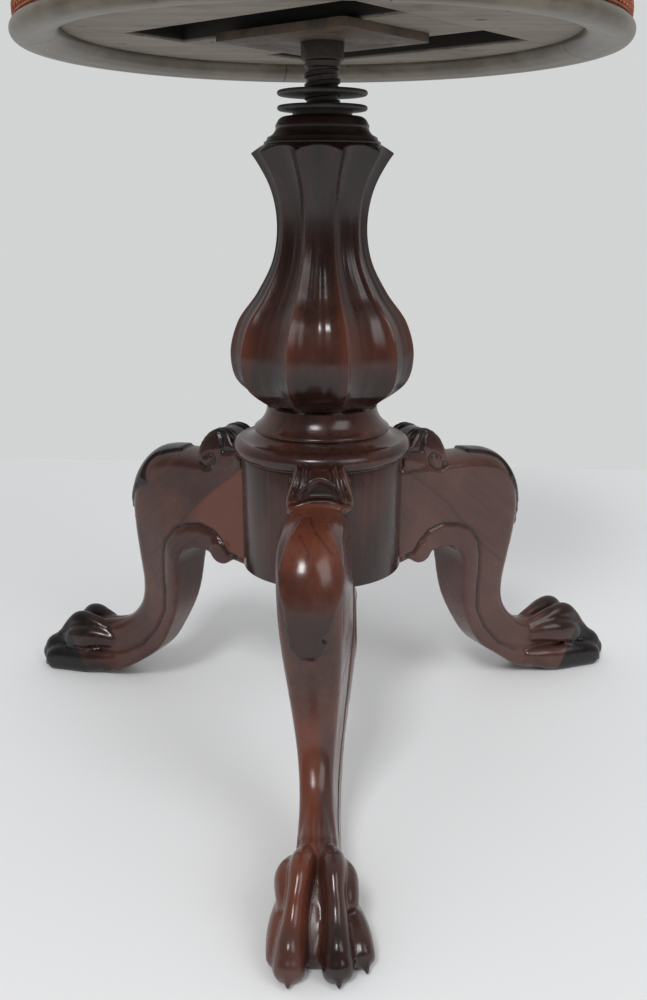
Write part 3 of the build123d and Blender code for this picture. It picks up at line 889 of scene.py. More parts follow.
# lines that the carver cut, as (distance from the axis, height) in the plane of the leg
BEAD_LINE = [
    (57, 126), (62.9, 127.5), (67.1, 133.5), (75.8, 142.1), (87.7, 145.6), (100.1, 143.7),
    (111.3, 137.9), (119.0, 127.5), (122.5, 116), (124, 100), (124.7, 86), (127.5, 68),
    (138, 49.5), (152, 34.5), (168, 25.5), (178, 22.5), (190, 21.5), (206, 24),
]
EAR_SPIRAL = [
    (59.0, 201.4), (64.0, 200.6), (68.4, 200.3), (69.3, 205.0), (70.3, 209.6), (73.0, 213.5), (75.8, 215.8),
]
EAR_HOOK = [
    (82.6, 194.8), (78.0, 197.8), (75.6, 195.5), (76.3, 190.6), (79.6, 187.0), (84.0, 186.2), (88.6, 189.4),
]
JOINT_LINE = [(56.5, 188.0), (90.0, 160.5), (121.6, 125.0), (142.0, 108.0), (158.0, 95.0)]
ROLL_EYE = (58.5, 123.5)
# cracks on the front leg's knee, as (sideways place, height)
CRACKS = [[(0.0, 194.0), (6.5, 188.5), (13.0, 181.5)], [(-4.0, 189.5), (0.4, 183.5), (1.0, 178.5)]]
# half width of the shield by its turn in degrees about the centre of the knee
SHIELD = [
    (94.0, 7.7), (63.4, 13.5), (37.6, 18.3), (19.7, 17.0), (6.6, 14.2), (-9.2, 11.8),
    (-18.0, 10.4), (-23.5, 8.6), (-27.5, 5.4),
]
KNEE_CENTRE = (115.0, 150.0)
EAR_PROFILE = [
    (52.0, 188.0), (52.0, 203.0), (60.5, 204.6), (62.0, 208.6), (65.0, 211.4), (69.0, 213.3),
    (74.0, 214.2), (79.0, 212.9), (83.5, 209.4), (86.6, 204.4), (88.0, 198.5), (88.0, 193.0),
    (86.0, 188.4), (82.5, 186.0), (78.5, 187.0), (66.0, 187.0),
]


def ring_mesh(rings):
    """Closed mesh through rings of equal counts, its two ends filled."""
    rows, count = len(rings), len(rings[0])
    faces = grid_faces(rows, count, loop=True)
    faces += [tuple(reversed(range(count))), tuple((rows - 1) * count + k for k in range(count))]
    return outward(mesh_from(np.concatenate(rings), faces))


def section_outline(front, rear, nose, span):
    """Outline of the leg's section: flat back with soft corners, drawn-in sides, rounded front."""
    shoulder = span - nose
    back = [(0.0, y) for y in np.linspace(rear - 2.0, -rear + 2.0, 14)]
    low = [(0.6, -rear + 0.6)]
    low += [(x, -rear + (rear - front) * x / shoulder) for x in np.linspace(2.0, shoulder - 1, 20)]
    turns = np.linspace(-math.pi / 2, math.pi / 2, 25)
    nose_points = [(shoulder + nose * max(math.cos(t), 0.0) ** 0.9, front * math.sin(t)) for t in turns]
    high = [(x, -y) for x, y in reversed(low)]
    return np.array(back + low + nose_points + high)


def leg_body(sway, sole_lift):
    """Main form of the leg, from the drum to the ball of the paw."""
    raw = np.array([[*o, *i, f, r, n, s] for o, i, f, r, n, s in LEG_STATIONS])
    raw[:, 3] += sole_lift * bell(raw[:, 2] - SOLE_MIDDLE, SOLE_RUN)
    run = line_run((raw[:, 0:2] + raw[:, 2:4]) / 2)
    fine = hermite(run, raw, np.linspace(0, run[-1], 170))
    rings = []
    for ox, oz, ix, iz, front, rear, nose, share in fine:
        span = math.hypot(ox - ix, oz - iz)
        outline = section_outline(front, rear, nose, span)
        along = np.array([(ox - ix) / span, (oz - iz) / span])
        x = ix + outline[:, 0] * along[0]
        z = iz + outline[:, 0] * along[1]
        y = outline[:, 1] + sway * share * outline[:, 0] / span
        rings.append(np.stack([x, y, z], 1))
    return ring_mesh(rings)


def limb(stations, side, name, lean, steps=44):
    """Toe or claw: ovals along a smooth line, with rounded ends."""
    raw = np.array(stations, float)
    past = raw[:, 0] - WRIST
    raw[:, 1] = side * raw[:, 1] + FOOT_SWAY_SHARE * LEG_SWAY + np.interp(past, KNUCKLE_TO_TIP, lean)
    raw[:, 0] = WRIST + past * FOOT_REACH[name]
    if raw[0, 0] < CLAW_START:
        raw[:3, 0] -= RIDGE_STARTS[name] * np.array([1.0, 0.6, 0.25])
    raw[:, 2] += (FOOT_RISE[name] - 1) * np.maximum(raw[:, 2] - raw[:, 4], 0) * 1.8
    run = line_run(raw[:, :3])
    fine = hermite(run, raw, np.linspace(0, run[-1], steps))
    centres = fine[:, :3]
    ways = np.gradient(centres, axis=0)
    turns = np.linspace(0, 2 * math.pi, 28, endpoint=False)
    rings = []
    for i, (centre, way) in enumerate(zip(centres, ways)):
        way = way / np.linalg.norm(way)
        across = np.cross((0, 0, 1), way)
        across /= np.linalg.norm(across)
        up = np.cross(way, across)
        wide, high = fine[i, 3], fine[i, 4]
        rings.append(centre + np.outer(np.cos(turns) * wide, across) + np.outer(np.sin(turns) * high, up))
    caps = []
    for end, sense in ((0, -1), (-1, 1)):
        way = sense * ways[end] / np.linalg.norm(ways[end]) * fine[end, 3] * BLUNTNESS
        flat = rings[end] - centres[end]
        caps.append([centres[end] + flat * math.sqrt(1 - s ** 2) + way * s for s in (0.5, 0.8, 0.95)])
    return ring_mesh(caps[0][::-1] + rings + caps[1])


def ear_form(shift):
    """Volute beside the torus, narrower at its top, with eased edges."""
    outline = np.array(EAR_PROFILE)
    closed = np.vstack([outline, outline[:1]])
    run = line_run(closed)
    places = np.linspace(0, run[-1], 90, endpoint=False)
    dense = np.stack([np.interp(places, run, column) for column in closed.T], 1)
    for _ in range(6):
        dense = (np.roll(dense, 1, 0) + 2 * dense + np.roll(dense, -1, 0)) / 4
    centre = dense.mean(0)
    rings = []
    eased = [(0.4, 1.0), (0.83, 1.0), (0.91, 0.98), (0.97, 0.93), (1.0, 0.86)]
    for t, shrink in [(-t, shrink) for t, shrink in reversed(eased)] + [(0.0, 1.0)] + eased:
        x, z = (centre + (dense - centre) * shrink).T
        narrow = 1 - 0.27 * step(z, 193.0, 214.0) - 0.11 * step(z, 194.0, 187.5)
        rings.append(np.stack([x, t * EAR_HALF * narrow + shift, z], 1))
    return ring_mesh(rings)


def roll_form():
    """Roll that ends the arch, close to the drum."""
    turns = np.linspace(0, 2 * math.pi, 64, endpoint=False)
    rings = []
    eased = [(0.88, 1.0), (0.94, 0.93), (0.98, 0.84), (1.0, 0.72)]
    for t, shrink in [(-t, shrink) for t, shrink in reversed(eased)] + [(0.0, 1.0)] + eased:
        x = ROLL_CENTRE[0] + ROLL_RADIUS * shrink * np.cos(turns)
        z = ROLL_CENTRE[1] + ROLL_RADIUS * shrink * np.sin(turns)
        rings.append(np.stack([x, np.full(64, t * ROLL_HALF), z], 1))
    return ring_mesh(rings)


def fused(meshes, voxel):
    """One skin over several closed meshes."""
    holder = linked("holder", join_meshes(meshes))
    remesh = holder.modifiers.new("skin", "REMESH")
    remesh.mode = "VOXEL"
    remesh.voxel_size = voxel
    relax = holder.modifiers.new("relax", "SMOOTH")
    relax.factor = 0.5
    relax.iterations = 9
    return shaped(holder)


def knee_shield(x, z, t):
    """How far each point lies inside the raised shield on the knee: 0 outside, 1 inside."""
    turn = np.degrees(np.arctan2(z - KNEE_CENTRE[1], x - KNEE_CENTRE[0]))
    reach = np.hypot(x - KNEE_CENTRE[0], z - KNEE_CENTRE[1])
    keys = np.array(sorted(SHIELD))
    width = np.interp(turn, keys[:, 0], keys[:, 1], left=-5.0, right=-5.0)
    shifted = t + 2.2 * step(z, 160.0, 132.0)
    notch = 3.6 * bell(turn + 12.0, 3.2) * (t > 0)
    waves = 0.7 * np.sin(turn * 0.55) * step(turn, 10.0, -10.0)
    inside = step(width - notch + waves - np.abs(shifted), -1.2, 1.3)
    return inside * step(reach, 24.0, 30.0) * step(turn, -28.5, -26.5) * (1 - step(turn, 92.0, 95.0))


def line_marks(plane, line, width):
    gap, _ = distance_to_line(plane, line)
    return bell(gap, width)


def carve_ear(x, z, t, side):
    """Depth and darkness of the cuts on the ear: flaring ribs, a cup between them and a lip below."""
    face = (1 - side) * step(x, 62.0, 68.0) * (x < 96)
    front = step(z, 194.0, 197.5) * face
    drop = np.clip((214.0 - z) / 20.0, 0, 1.1)
    ribs, cuts = 0.0, 0.0
    for top, low in ((8.6, 14.2), (12.8, 19.4)):
        gap = np.abs(t) - (top + (low - top) * drop)
        ribs += bell(gap, 1.2) * front
        cuts += bell(gap + 2.2, 1.0) * front
    arch = np.hypot(t / (6.6 + 7.5 * drop), np.maximum(z - 200.0, 0) / 8.6)
    cup = step(arch, 1.0, 0.55) * front
    rim = bell(arch - 1.06, 0.13) * front * step(z, 199.0, 204.0)
    above_lip = z - (197.0 - 0.011 * t ** 2)
    ridge = bell(above_lip - 1.6, 1.2) * face * (x > 78)
    crease = bell(above_lip + 1.0, 1.0) * face * (x > 78)
    depth = 1.4 * cuts + 2.0 * cup + 1.5 * crease - 0.9 * ribs - 0.9 * rim - 0.8 * ridge
    # painted shade in the cup; darkness along the cuts and the crease, less on the ridge
    return depth, np.clip(0.45 * cuts + 0.75 * cup + 0.8 * crease - 0.4 * ridge, 0, 1)


def cut_lines(mesh, name):
    """Moves the skin of a leg along its normals to cut its lines. Returns what the finish needs of them."""
    co = coordinates(mesh)
    normals = coordinates(mesh, "normal", 1)
    x, y, z = co.T
    raw = np.array([[(o[0] + i[0]) / 2, (o[1] + i[1]) / 2, w] for o, i, f, r, n, w in LEG_STATIONS])
    near = np.argmin((x[:, None] - raw[None, :, 0]) ** 2 + (z[:, None] - raw[None, :, 1]) ** 2, axis=1)
    t = y - LEG_SWAY * raw[near, 2] * 0.75
    foot_t = y - FOOT_SWAY_SHARE * LEG_SWAY
    plane = co[:, [0, 2]]
    side = step(np.abs(normals[:, 1]), 0.35, 0.75)
    top = step(normals[:, 2], 0.05, 0.5)

    bead, way = distance_to_line(plane, BEAD_LINE)
    fade = 1 - 0.45 * step(x, 165.0, 180.0) - 0.55 * step(x, 193.0, 207.0)
    groove = bell(bead, 1.0 + 1.4 * step(x, 150.0, 180.0)) * side * fade
    band = bell(bead - 7.0, 5.0) * (way < 0) * side * fade * step(z, 60.0, 110.0)
    shift = 0.9 * band - 1.4 * groove
    hollow = groove * (0.8 - 0.45 * step(x, 150.0, 175.0))

    inside = knee_shield(x, z, t)
    edge = np.clip(4 * inside * (1 - inside), 0, 1)
    shift += 1.9 * inside - 0.6 * edge
    hollow += edge * 0.7

    for line, width, cut in ((EAR_SPIRAL, 1.3, 1.6), (EAR_HOOK, 1.2, 1.8)):
        mark = line_marks(plane, line, width) * side * (z > 183)
        shift -= cut * mark
        hollow += mark * 0.8
    cut, dark = carve_ear(x, z, y - EAR_SHIFT, side)
    shift -= cut
    hollow += dark * 0.8

    eye = bell(np.hypot(x - ROLL_EYE[0], z - ROLL_EYE[1]), 2.2) * side
    joint = line_marks(plane, JOINT_LINE, 0.7) * side * (way > 0)
    shift -= 1.2 * eye + 0.2 * joint
    hollow += eye + joint * 0.5
    if name == "leg_front":
        facing = np.stack([y - LEG_SWAY, z], 1)
        for line in CRACKS:
            mark = line_marks(facing, line, 0.42) * (1 - side) * (x > 112)
            shift -= 0.15 * mark
            hollow += mark * 0.6

    tendon = step(x, 170, 184) * (1 - step(x, 200, 207)) * (z < 60)
    spread = 0.6 + 0.4 * step(x, 168, 200)
    for place, cut in ((0.0, 1.2), (10.0, 0.7), (-10.0, 0.7)):
        shift -= cut * bell(foot_t - place * spread, 1.7) * tendon * top
    fold = bell(x - 198.5 + 0.03 * foot_t ** 2, 2.0) * top * (z < 60) * (1 - DARK_TIPS[name])
    shift -= 0.5 * fold
    # painted shade: near black in the valley between the inner toes, kept to its left side, and in the fold
    # across the knuckles
    web = bell(foot_t + 1.8 - np.interp(x - WRIST, KNUCKLE_TO_TIP, FOOT_LEANS[name][0]), 3.2)
    web *= step(x, 203.0, 212.0) * step(z, 46.0, 36.0)
    hollow += 0.35 * fold + 0.7 * web
    set_attribute(mesh, "dull", np.clip(1.3 * web, 0, 1))

    foot = step(x, 178.0, 190.0) * (z < 75)
    co = co + normals * shift[:, None]
    co[:, 2] = np.maximum(co[:, 2], 0.0)
    move_points(mesh, co)
    return co, side, way, foot, foot_t, inside, hollow


def paint_leg(mesh, name, co, side, way, foot, foot_t, inside, hollow):
    """Stores where a leg is warm, where it is greyed by haze and painted sheen, where it is dark, and the run
    of its grain.
    """
    x, y, z = co.T
    tipped = DARK_TIPS[name]
    plain = 1 - tipped
    past = (x - WRIST) / FOOT_REACH[name]
    patch = (z < np.interp(x, *zip(*JOINT_LINE))) * (way > 0) * side * (1 - step(x, 74.0, 110.0))
    tips = step(past + 1.1 * foot_t * SEEN_SIDE[name] + 0.5 * (16.0 - z), 53.0, 55.5)
    tips *= step(z, 38.0, 32.0) * tipped
    knuckles = step(past, 8.0, 24.0) * step(z, 32.0, 41.0) * tipped * (z < 60)
    ear_top = step(z, 196.0, 206.0) * 0.8 * tipped
    ear_face = step(z, 195.0, 198.0) * (x > 66.0) * (1 - side)
    front_face = (1 - side) * plain
    knee_top = step(z, 170.0, 181.0) * step(z, 197.0, 193.0) * front_face
    shin = step(z, 172.0, 152.0) * (1 - foot) * front_face
    # painted light: the front leg's foot is warmer on its left half, where the key light falls
    lit_left_ankle = step(z, 92.0, 70.0) * step(foot_t, 6.0, -3.0) * plain
    toe_end = step(past, 56.0, 68.0) * plain

    tone = LEG_TONES[name] + PATCH_TONES[name] * patch - 0.4 * inside * tipped + 0.12 * step(z, 130, 90)
    tone += 0.45 * knee_top + 0.55 * lit_left_ankle + 0.05 * shin
    tone -= (0.12 + 0.2 * tipped) * foot + 0.3 * ear_top + 0.5 * (tips + 0.5 * knuckles)
    tone -= 0.3 * ear_face + 0.22 * toe_end
    set_attribute(mesh, "tone", tone)

    # painted sheen: the grey haze goes on the right half of the front foot, on the shin and beside the knee's
    # shield, partly as old polish
    right_hand_sheen = np.maximum(step(foot_t, -1.0, 4.0) * step(z, 110.0, 80.0), 0.6 * toe_end)
    beside_shield = 0.8 * (1 - inside) * step(z, 100.0, 130.0) * step(z, 194.0, 188.0)
    haze_and_sheen = np.maximum(0.75 * shin * step(z, 82.0, 108.0), right_hand_sheen)
    haze_and_sheen = np.maximum(haze_and_sheen, beside_shield) * plain * (1 - 0.5 * side)
    haze_and_sheen += LEG_HAZE_AND_SHEEN[name] * (1 - 0.8 * patch * (name == "leg_left"))
    set_attribute(mesh, "haze_and_sheen", np.clip(haze_and_sheen, 0, 1))

    dark = hollow + inside * (0.6 * tipped + 0.45 * plain * step(z, 162.0, 146.0))
    # painted shade: darker on the lowest part of the foot and where it meets the floor
    dark += 0.95 * tips + 0.6 * knuckles + 0.3 * foot * step(z, 9.0, 1.0) + 0.5 * ear_top + 0.05 * ear_face
    dark += 0.25 * toe_end + 0.3 * shin * step(z, 112.0, 132.0) + 0.5 * step(z, 3.0, 0.5)
    set_attribute(mesh, "hollow", np.clip(dark, 0, 1))

    sine, cosine = math.sin(GRAIN_LEAN), math.cos(GRAIN_LEAN)
    set_attribute(mesh, "grain", np.stack([x * cosine - z * sine, x * sine + z * cosine, y], 1) * MM)


def leg_mesh(name, voxel):
    inner, outer = FOOT_LEANS[name]
    parts = [leg_body(LEG_SWAY, SOLE_LIFT[name]), ear_form(EAR_SHIFT), roll_form()]
    parts.append(limb(TOE_WEB, 1, name, inner))
    for side in (-1, 1):
        parts += [limb(INNER_TOE, side, name, inner), limb(INNER_CLAW, side, name, inner, 16)]
        parts += [limb(form, side, name, outer) for form in (OUTER_KNUCKLE, OUTER_TOE)]
        parts.append(limb(OUTER_CLAW, side, name, outer, 16))
    mesh = fused(parts, voxel)
    paint_leg(mesh, name, *cut_lines(mesh, name))
    with editing(mesh):
        pass
    mesh.transform(Matrix.Rotation(math.radians(LEG_ANGLES[name]), 4, "Z"))
    mesh.update()
    return mesh


# ------------------------------------------------------------------ screw, plate, wood screws
def thread_mesh(low, high, pitch):
    """Ridge of the screw's thread, swept round the axis and faded at both ends."""
    crest, root = SCREW_RADIUS - 0.05, SCREW_CORE - 0.8
    flank = [(root, -1.75), (SCREW_CORE, -1.7), (crest - 0.25, -1.35), (crest, -1.1)]
    profile = flank + [(r, -h) for r, h in reversed(flank)]
    steps = 48
    count = int((high - low) / pitch * steps)
    points = []
    for i in range(count + 1):
        turn = 2 * math.pi * i / steps
        fade = min(1.0, i / 20, (count - i) / 20)
        for r, h in profile:
            r = root + (r - root) * fade
            points.append((r * math.cos(turn), r * math.sin(turn), low + pitch * i / steps + h))
    n = len(profile)
    faces = grid_faces(count + 1, n, loop=True)
    faces += [tuple(range(n)), tuple(count * n + k for k in reversed(range(n)))]
    return mesh_from(points, faces)


def screw_core_profile():
    low, boss = SCREW_BOTTOM, BOSS_BOTTOM
    points = [(0.0, low), (8.4, low), (SCREW_CORE, low + 1.4), (SCREW_CORE, boss - THREAD_MARGIN)]
    points += [(10.9, boss - 3.0), (10.9, boss - 0.2), (BOSS_RADIUS - 0.9, boss), (BOSS_RADIUS, boss + 0.9)]
    points += [(BOSS_RADIUS - 0.2, boss + 6.0), (BOSS_RADIUS, PLATE_BOTTOM), (8.0, PLATE_BOTTOM)]
    points += [(8.0, FRAME_BOTTOM), (0.0, FRAME_BOTTOM)]
    return ease_corners(points, 0.3)


def wood_screw_mesh():
    """Slotted countersunk screw, head down, with its thread left as a plain taper."""
    profile = [(0, 0.15), (4.6, 0.15), (4.95, 0.45), (2.5, 2.9), (2.4, 14.5), (0.2, 17.6), (0, 17.6)]
    first = linked("screw_blank", lathe(ease_corners(profile, 0.12), 32))
    cutter = bpy.data.meshes.new("slot")
    with editing(cutter) as work:
        bmesh.ops.create_cube(work, size=1.0)
        bmesh.ops.scale(work, vec=Vector(SLOT) * MM, verts=work.verts)
    second = linked("slot_cutter", cutter)
    cut = first.modifiers.new("slot", "BOOLEAN")
    cut.operation = "DIFFERENCE"
    cut.object = second
    cut.solver = "EXACT"
    mesh = shaped(first)
    bpy.data.objects.remove(second)
    return mesh


def screws_tree(material):
    """Geometry Nodes tree that sets a screw, turned at random, on each point."""
    inputs = {"Screw": "NodeSocketObject", "Seed": "NodeSocketInt"}
    tree, graph, values = node_group("screws_on_points", inputs)
    info = graph.node("GeometryNodeObjectInfo", {}, {"Object": values["Screw"]}, 4)
    inputs = {"Min": (0, 0, 0), "Max": (0, 0, 6.28), "Seed": values["Seed"]}
    chance = graph.node("FunctionNodeRandomValue", {"data_type": "FLOAT_VECTOR"}, inputs)
    inputs = {"Points": values["Geometry"], "Instance": info, "Rotation": chance}
    close_group(graph, graph.node("GeometryNodeInstanceOnPoints", {}, inputs), material)
    return tree


# ------------------------------------------------------------------ seat
CLOTH_FRAMES = 20
CLOTH = {
    "quality": 4,
    "mass": 0.4,
    "tension_stiffness": 18,
    "compression_stiffness": 18,
    "shear_stiffness": 8,
    "bending_stiffness": 1.2,
    "use_pressure": True,
    "uniform_pressure_force": 4.0,
    "vertex_group_mass": "held",
    "pin_stiffness": 5,
}
# length of the cover's side along its outline, below which the weave runs round the seat
SIDE_RUN = 52.0
SKIRT_STEPS = (478.0, 470.0)
GIMP_LOOPS = 176
GIMP_TOP = 471.0
CORD_TWISTS = 330
WEBBING_REACH = 169.0
WEBBING_PITCH = 62.0
WEBBING_WIDTH = 50.0
WEBBING_STRIPS = 5
BASE_CLOTH_RADIUS = 171.0
BASE_CLOTH_LOW = 482.9


def rim_profile():
    """Half section of the rim, closed, from its top inner corner round the nose."""
    low, top, edge = RIM_LOW, FRAME_BOTTOM, SEAT_RADIUS
    nose = (top - low) / 2
    points = [(RIM_INNER, top), (edge - 3.0, top)]
    points += arc((edge - 3.0, top), (edge, low + nose), (edge - nose, low + 0.3), 14)[1:]
    points += arc((edge - nose, low + 0.3), (edge - 9.0, low), (edge - 13.0, low + 0.7), 6)[1:]
    points += arc((edge - 13.0, low + 0.7), (edge - 18.0, low + 1.5), (RIM_INNER + 5.0, low + 3.2), 8)[1:]
    points += arc((RIM_INNER + 5.0, low + 3.2), (RIM_INNER + 1.5, low + 5.6), (RIM_INNER, low + 9.6), 10)[1:]
    return points + [(RIM_INNER, top)]


def rim_mesh(index):
    """Quarter of the rim between two fine joints, its nose a little worn in waves."""
    start = math.radians(10 + 90 * index) + RIM_JOINT

    def worn(r, z, turn):
        wave = 0.10 * math.sin(7 * turn) + 0.06 * math.sin(13 * turn + 1.0)
        return r - abs(wave) * (z < FRAME_BOTTOM - 0.5), z

    return lathe(rim_profile(), 72, start, math.pi / 2 - 2 * RIM_JOINT, worn)


def seat_outline():
    """Half section of the cover from the skirt's foot to the middle of the crown."""
    foot, low = COVER_RADIUS, COVER_LOW
    side = [(foot, z) for z in np.linspace(low, low + 11.8, 8)]
    side += arc((foot, low + 11.8), (foot + 1.6, low + 25.8), (foot - 1.6, low + 39.8), 14)[1:]
    side += arc((foot - 1.6, low + 39.8), (foot - 7.0, low + 46.0), (foot - 20.0, low + 49.8), 12)[1:]
    side += arc((foot - 20.0, low + 49.8), (foot * 0.443, low + 62.6), (0.0, low + 66.8), 36)[1:]
    return side


def cushion_mesh():
    """Cover and stuffing as one closed form: crown, side, skirt round the frame, flat underside."""
    inner, ceiling = COVER_RADIUS - 2.0, CLOTH_TOP + 0.2
    profile = [(0.0, ceiling), (120.0, ceiling), (inner - 2, ceiling), (inner, CLOTH_TOP - 1.0)]
    profile += [(inner, z) for z in (*SKIRT_STEPS, COVER_LOW + 0.6)]
    profile += [(inner + 0.4, COVER_LOW), (COVER_RADIUS - 0.4, COVER_LOW)] + seat_outline()[1:]
    return lathe(profile, 256)


def swell(mesh, cap, hold_below):
    """Runs cloth under pressure on the pad; points below hold_below stay where they are."""
    source = linked("pad_source", mesh.copy())
    start = coordinates(mesh)
    lifted = step(start[:, 2], hold_below, hold_below + 30.0)
    shrunk = start.copy()
    shrunk[:, 2] -= 3.2 * lifted * step(around_axis(start)[0], 20.0, 130.0)
    source.data.vertices.foreach_set("co", (shrunk * MM).ravel())
    group = source.vertex_groups.new(name="held")
    for i, share in enumerate(1 - lifted):
        group.add([i], float(share), "REPLACE")
    cloth = source.modifiers.new("cloth", "CLOTH")
    for key, value in CLOTH.items():
        setattr(cloth.settings, key, value)
    cloth.settings.effector_weights.gravity = 0.0
    cloth.point_cache.frame_start = 1
    cloth.point_cache.frame_end = CLOTH_FRAMES
    scene = bpy.context.scene
    for number in range(1, CLOTH_FRAMES + 1):
        scene.frame_set(number)
    depsgraph = bpy.context.evaluated_depsgraph_get()
    shift = coordinates(bpy.data.meshes.new_from_object(source.evaluated_get(depsgraph))) - start
    scene.frame_set(1)
    bpy.data.objects.remove(source)
    length = np.linalg.norm(shift, axis=1)
    shift *= (np.minimum(length, cap) / np.maximum(length, 1e-9))[:, None]
    return start + shift


def weave_places(co):
    """Cloth coordinates over the crown and round the side, in millimetres."""
    line = np.array(seat_outline()[::-1])
    run = line_run(line)
    radius, turn = around_axis(co)
    reach = np.empty(len(co))
    for k in range(0, len(co), 4000):
        gap = np.hypot(radius[k:k + 4000, None] - line[:, 0], co[k:k + 4000, None, 2] - line[:, 1])
        reach[k:k + 4000] = run[np.argmin(gap, axis=1)]
    top = reach < run[-1] - SIDE_RUN
    x, y = np.where(top, co[:, 0], COVER_RADIUS * turn), np.where(top, co[:, 1], co[:, 2])
    return np.stack([x, y, np.zeros(len(co))], 1)


def cover_mesh():
    mesh = cushion_mesh()
    move_points(mesh, swell(mesh, 6.0, COVER_LOW + 14.0))
    set_attribute(mesh, "weave", weave_places(coordinates(mesh)))
    return outward(mesh)


def braid_tree(material):
    """Geometry Nodes tree that sets one cord loop of the gimp on every point of a ring."""
    floats = {"Radius": "NodeSocketFloat", "Height": "NodeSocketFloat"}
    inputs = {"Loop": "NodeSocketObject", "Count": "NodeSocketInt", **floats}
    tree, graph, values = node_group("gimp_loops", inputs)
    inputs = {"Vertices": values["Count"], "Radius": values["Radius"]}
    ring = graph.node("GeometryNodeMeshCircle", {"fill_type": "NONE"}, inputs)
    turn = graph.node("GeometryNodeInputIndex") / values["Count"] * (2 * math.pi)
    turned = graph.node("ShaderNodeCombineXYZ", {}, {2: turn})
    info = graph.node("GeometryNodeObjectInfo", {}, {"Object": values["Loop"]}, 4)
    inputs = {"Points": ring, "Instance": info, "Rotation": turned}
    placed = graph.node("GeometryNodeInstanceOnPoints", {}, inputs)
    height = graph.node("ShaderNodeCombineXYZ", {}, {2: values["Height"]})
    moved = graph.node("GeometryNodeTransform", {}, {"Geometry": placed, "Translation": height})
    close_group(graph, moved, material)
    return tree


def tube(path, radius, sides):
    """Round cord along a closed path in millimetres."""
    path = np.asarray(path, float)
    ways = np.roll(path, -1, 0) - np.roll(path, 1, 0)
    ways /= np.linalg.norm(ways, axis=1)[:, None]
    guide = np.array([1.0, 0, 0]) if abs(ways[0, 0]) < 0.9 else np.array([0, 1.0, 0])
    points = []
    for centre, way in zip(path, ways):
        across = np.cross(guide, way)
        across /= np.linalg.norm(across)
        up = np.cross(way, across)
        for k in range(sides):
            t = 2 * math.pi * k / sides
            points.append(centre + radius * (math.cos(t) * across + math.sin(t) * up))
    return outward(mesh_from(points, grid_faces(len(path), sides, ring=True, loop=True)))


def gimp_loop():
    """One figure-eight loop of the gimp, standing on the seat's side."""
    turns = np.linspace(0, 2 * math.pi, 26, endpoint=False)
    x, y, z = 0.5 * np.cos(turns) + 0.1, 3.1 * np.sin(turns), 1.98 * np.sin(2 * turns) + 1.2 * np.sin(turns)
    return tube(np.stack([x, y, z], 1), 0.62, 6)


def braid_mesh():
    """Woven band, two edge cords and the loops between them."""
    low, high, inner = COVER_LOW + 0.2, GIMP_TOP, COVER_RADIUS + 0.1
    outer, middle = inner + 0.8, inner + 1.25
    parts = [lathe([(inner, low), (outer, low), (outer, high), (inner, high), (inner, low)], 256)]
    turns = np.linspace(0, 2 * math.pi, 1500, endpoint=False)
    radius = middle + 0.16 * np.sin(turns * CORD_TWISTS)
    for z in (low + 0.8, high - 0.8):
        height = z + 0.1 * np.cos(turns * CORD_TWISTS)
        parts.append(tube(np.stack([radius * np.cos(turns), radius * np.sin(turns), height], 1), 0.72, 6))
    blank = linked("gimp_blank", gimp_loop())
    tree = braid_tree(bpy.data.materials["gimp_band"])
    values = {"Loop": blank, "Count": GIMP_LOOPS, "Radius": middle * MM, "Height": (low + high) / 2 * MM}
    parts.append(run_group(tree, mesh_from([(0, 0, 0)], []), values))
    bpy.data.objects.remove(blank)
    mesh = join_meshes(parts)
    co = coordinates(mesh)
    radius, turn = around_axis(co)
    set_attribute(mesh, "weave", np.stack([COVER_RADIUS * turn, co[:, 2], radius], 1))
    return mesh


def sheet_faces(rows, columns, edge, loop=False):
    """Faces of two grids, one above the other, and of the edge that joins them."""
    size = rows * columns
    lower = grid_faces(rows, columns, loop=loop)
    upper = [tuple(size + k for k in reversed(face)) for face in lower]
    return lower + upper + [(a, b, size + b, size + a) for a, b in zip(edge, edge[1:] + edge[:1])]


def strip_mesh(across, index):
    """One strip of webbing, waved over and under the strips that cross it."""
    place = (index - (WEBBING_STRIPS - 1) / 2) * WEBBING_PITCH
    half = math.sqrt(WEBBING_REACH ** 2 - (abs(place) + WEBBING_WIDTH / 2) ** 2)
    turn = FRAME_ANGLE + across * math.pi / 2
    sine, cosine = math.sin(turn), math.cos(turn)
    long = np.linspace(-half, half, 121)
    wide = np.linspace(-WEBBING_WIDTH / 2, WEBBING_WIDTH / 2, 11)
    sign = 1 if (index + across) % 2 else -1
    points, weave = [], []
    for level in (0.0, 1.3):
        for u in long:
            phase = math.cos(math.pi * u / WEBBING_PITCH) * sign
            height = FRAME_TOP + 0.95 + 0.75 * max(-1, min(1, 1.6 * phase)) + level
            for v in wide:
                y = v + place
                points.append((u * cosine - y * sine, u * sine + y * cosine, height))
                weave.append((u, v, 0.0))
    rows, columns = len(long), len(wide)
    edge = list(range(columns)) + [i * columns + columns - 1 for i in range(1, rows)]
    edge += [(rows - 1) * columns + k for k in reversed(range(columns - 1))]
    edge += [i * columns for i in reversed(range(1, rows - 1))]
    mesh = outward(mesh_from(points, sheet_faces(rows, columns, edge)))
    set_attribute(mesh, "weave", weave)
    return mesh


def webbing_mesh(across):
    return join_meshes([strip_mesh(across, i) for i in range(WEBBING_STRIPS)])


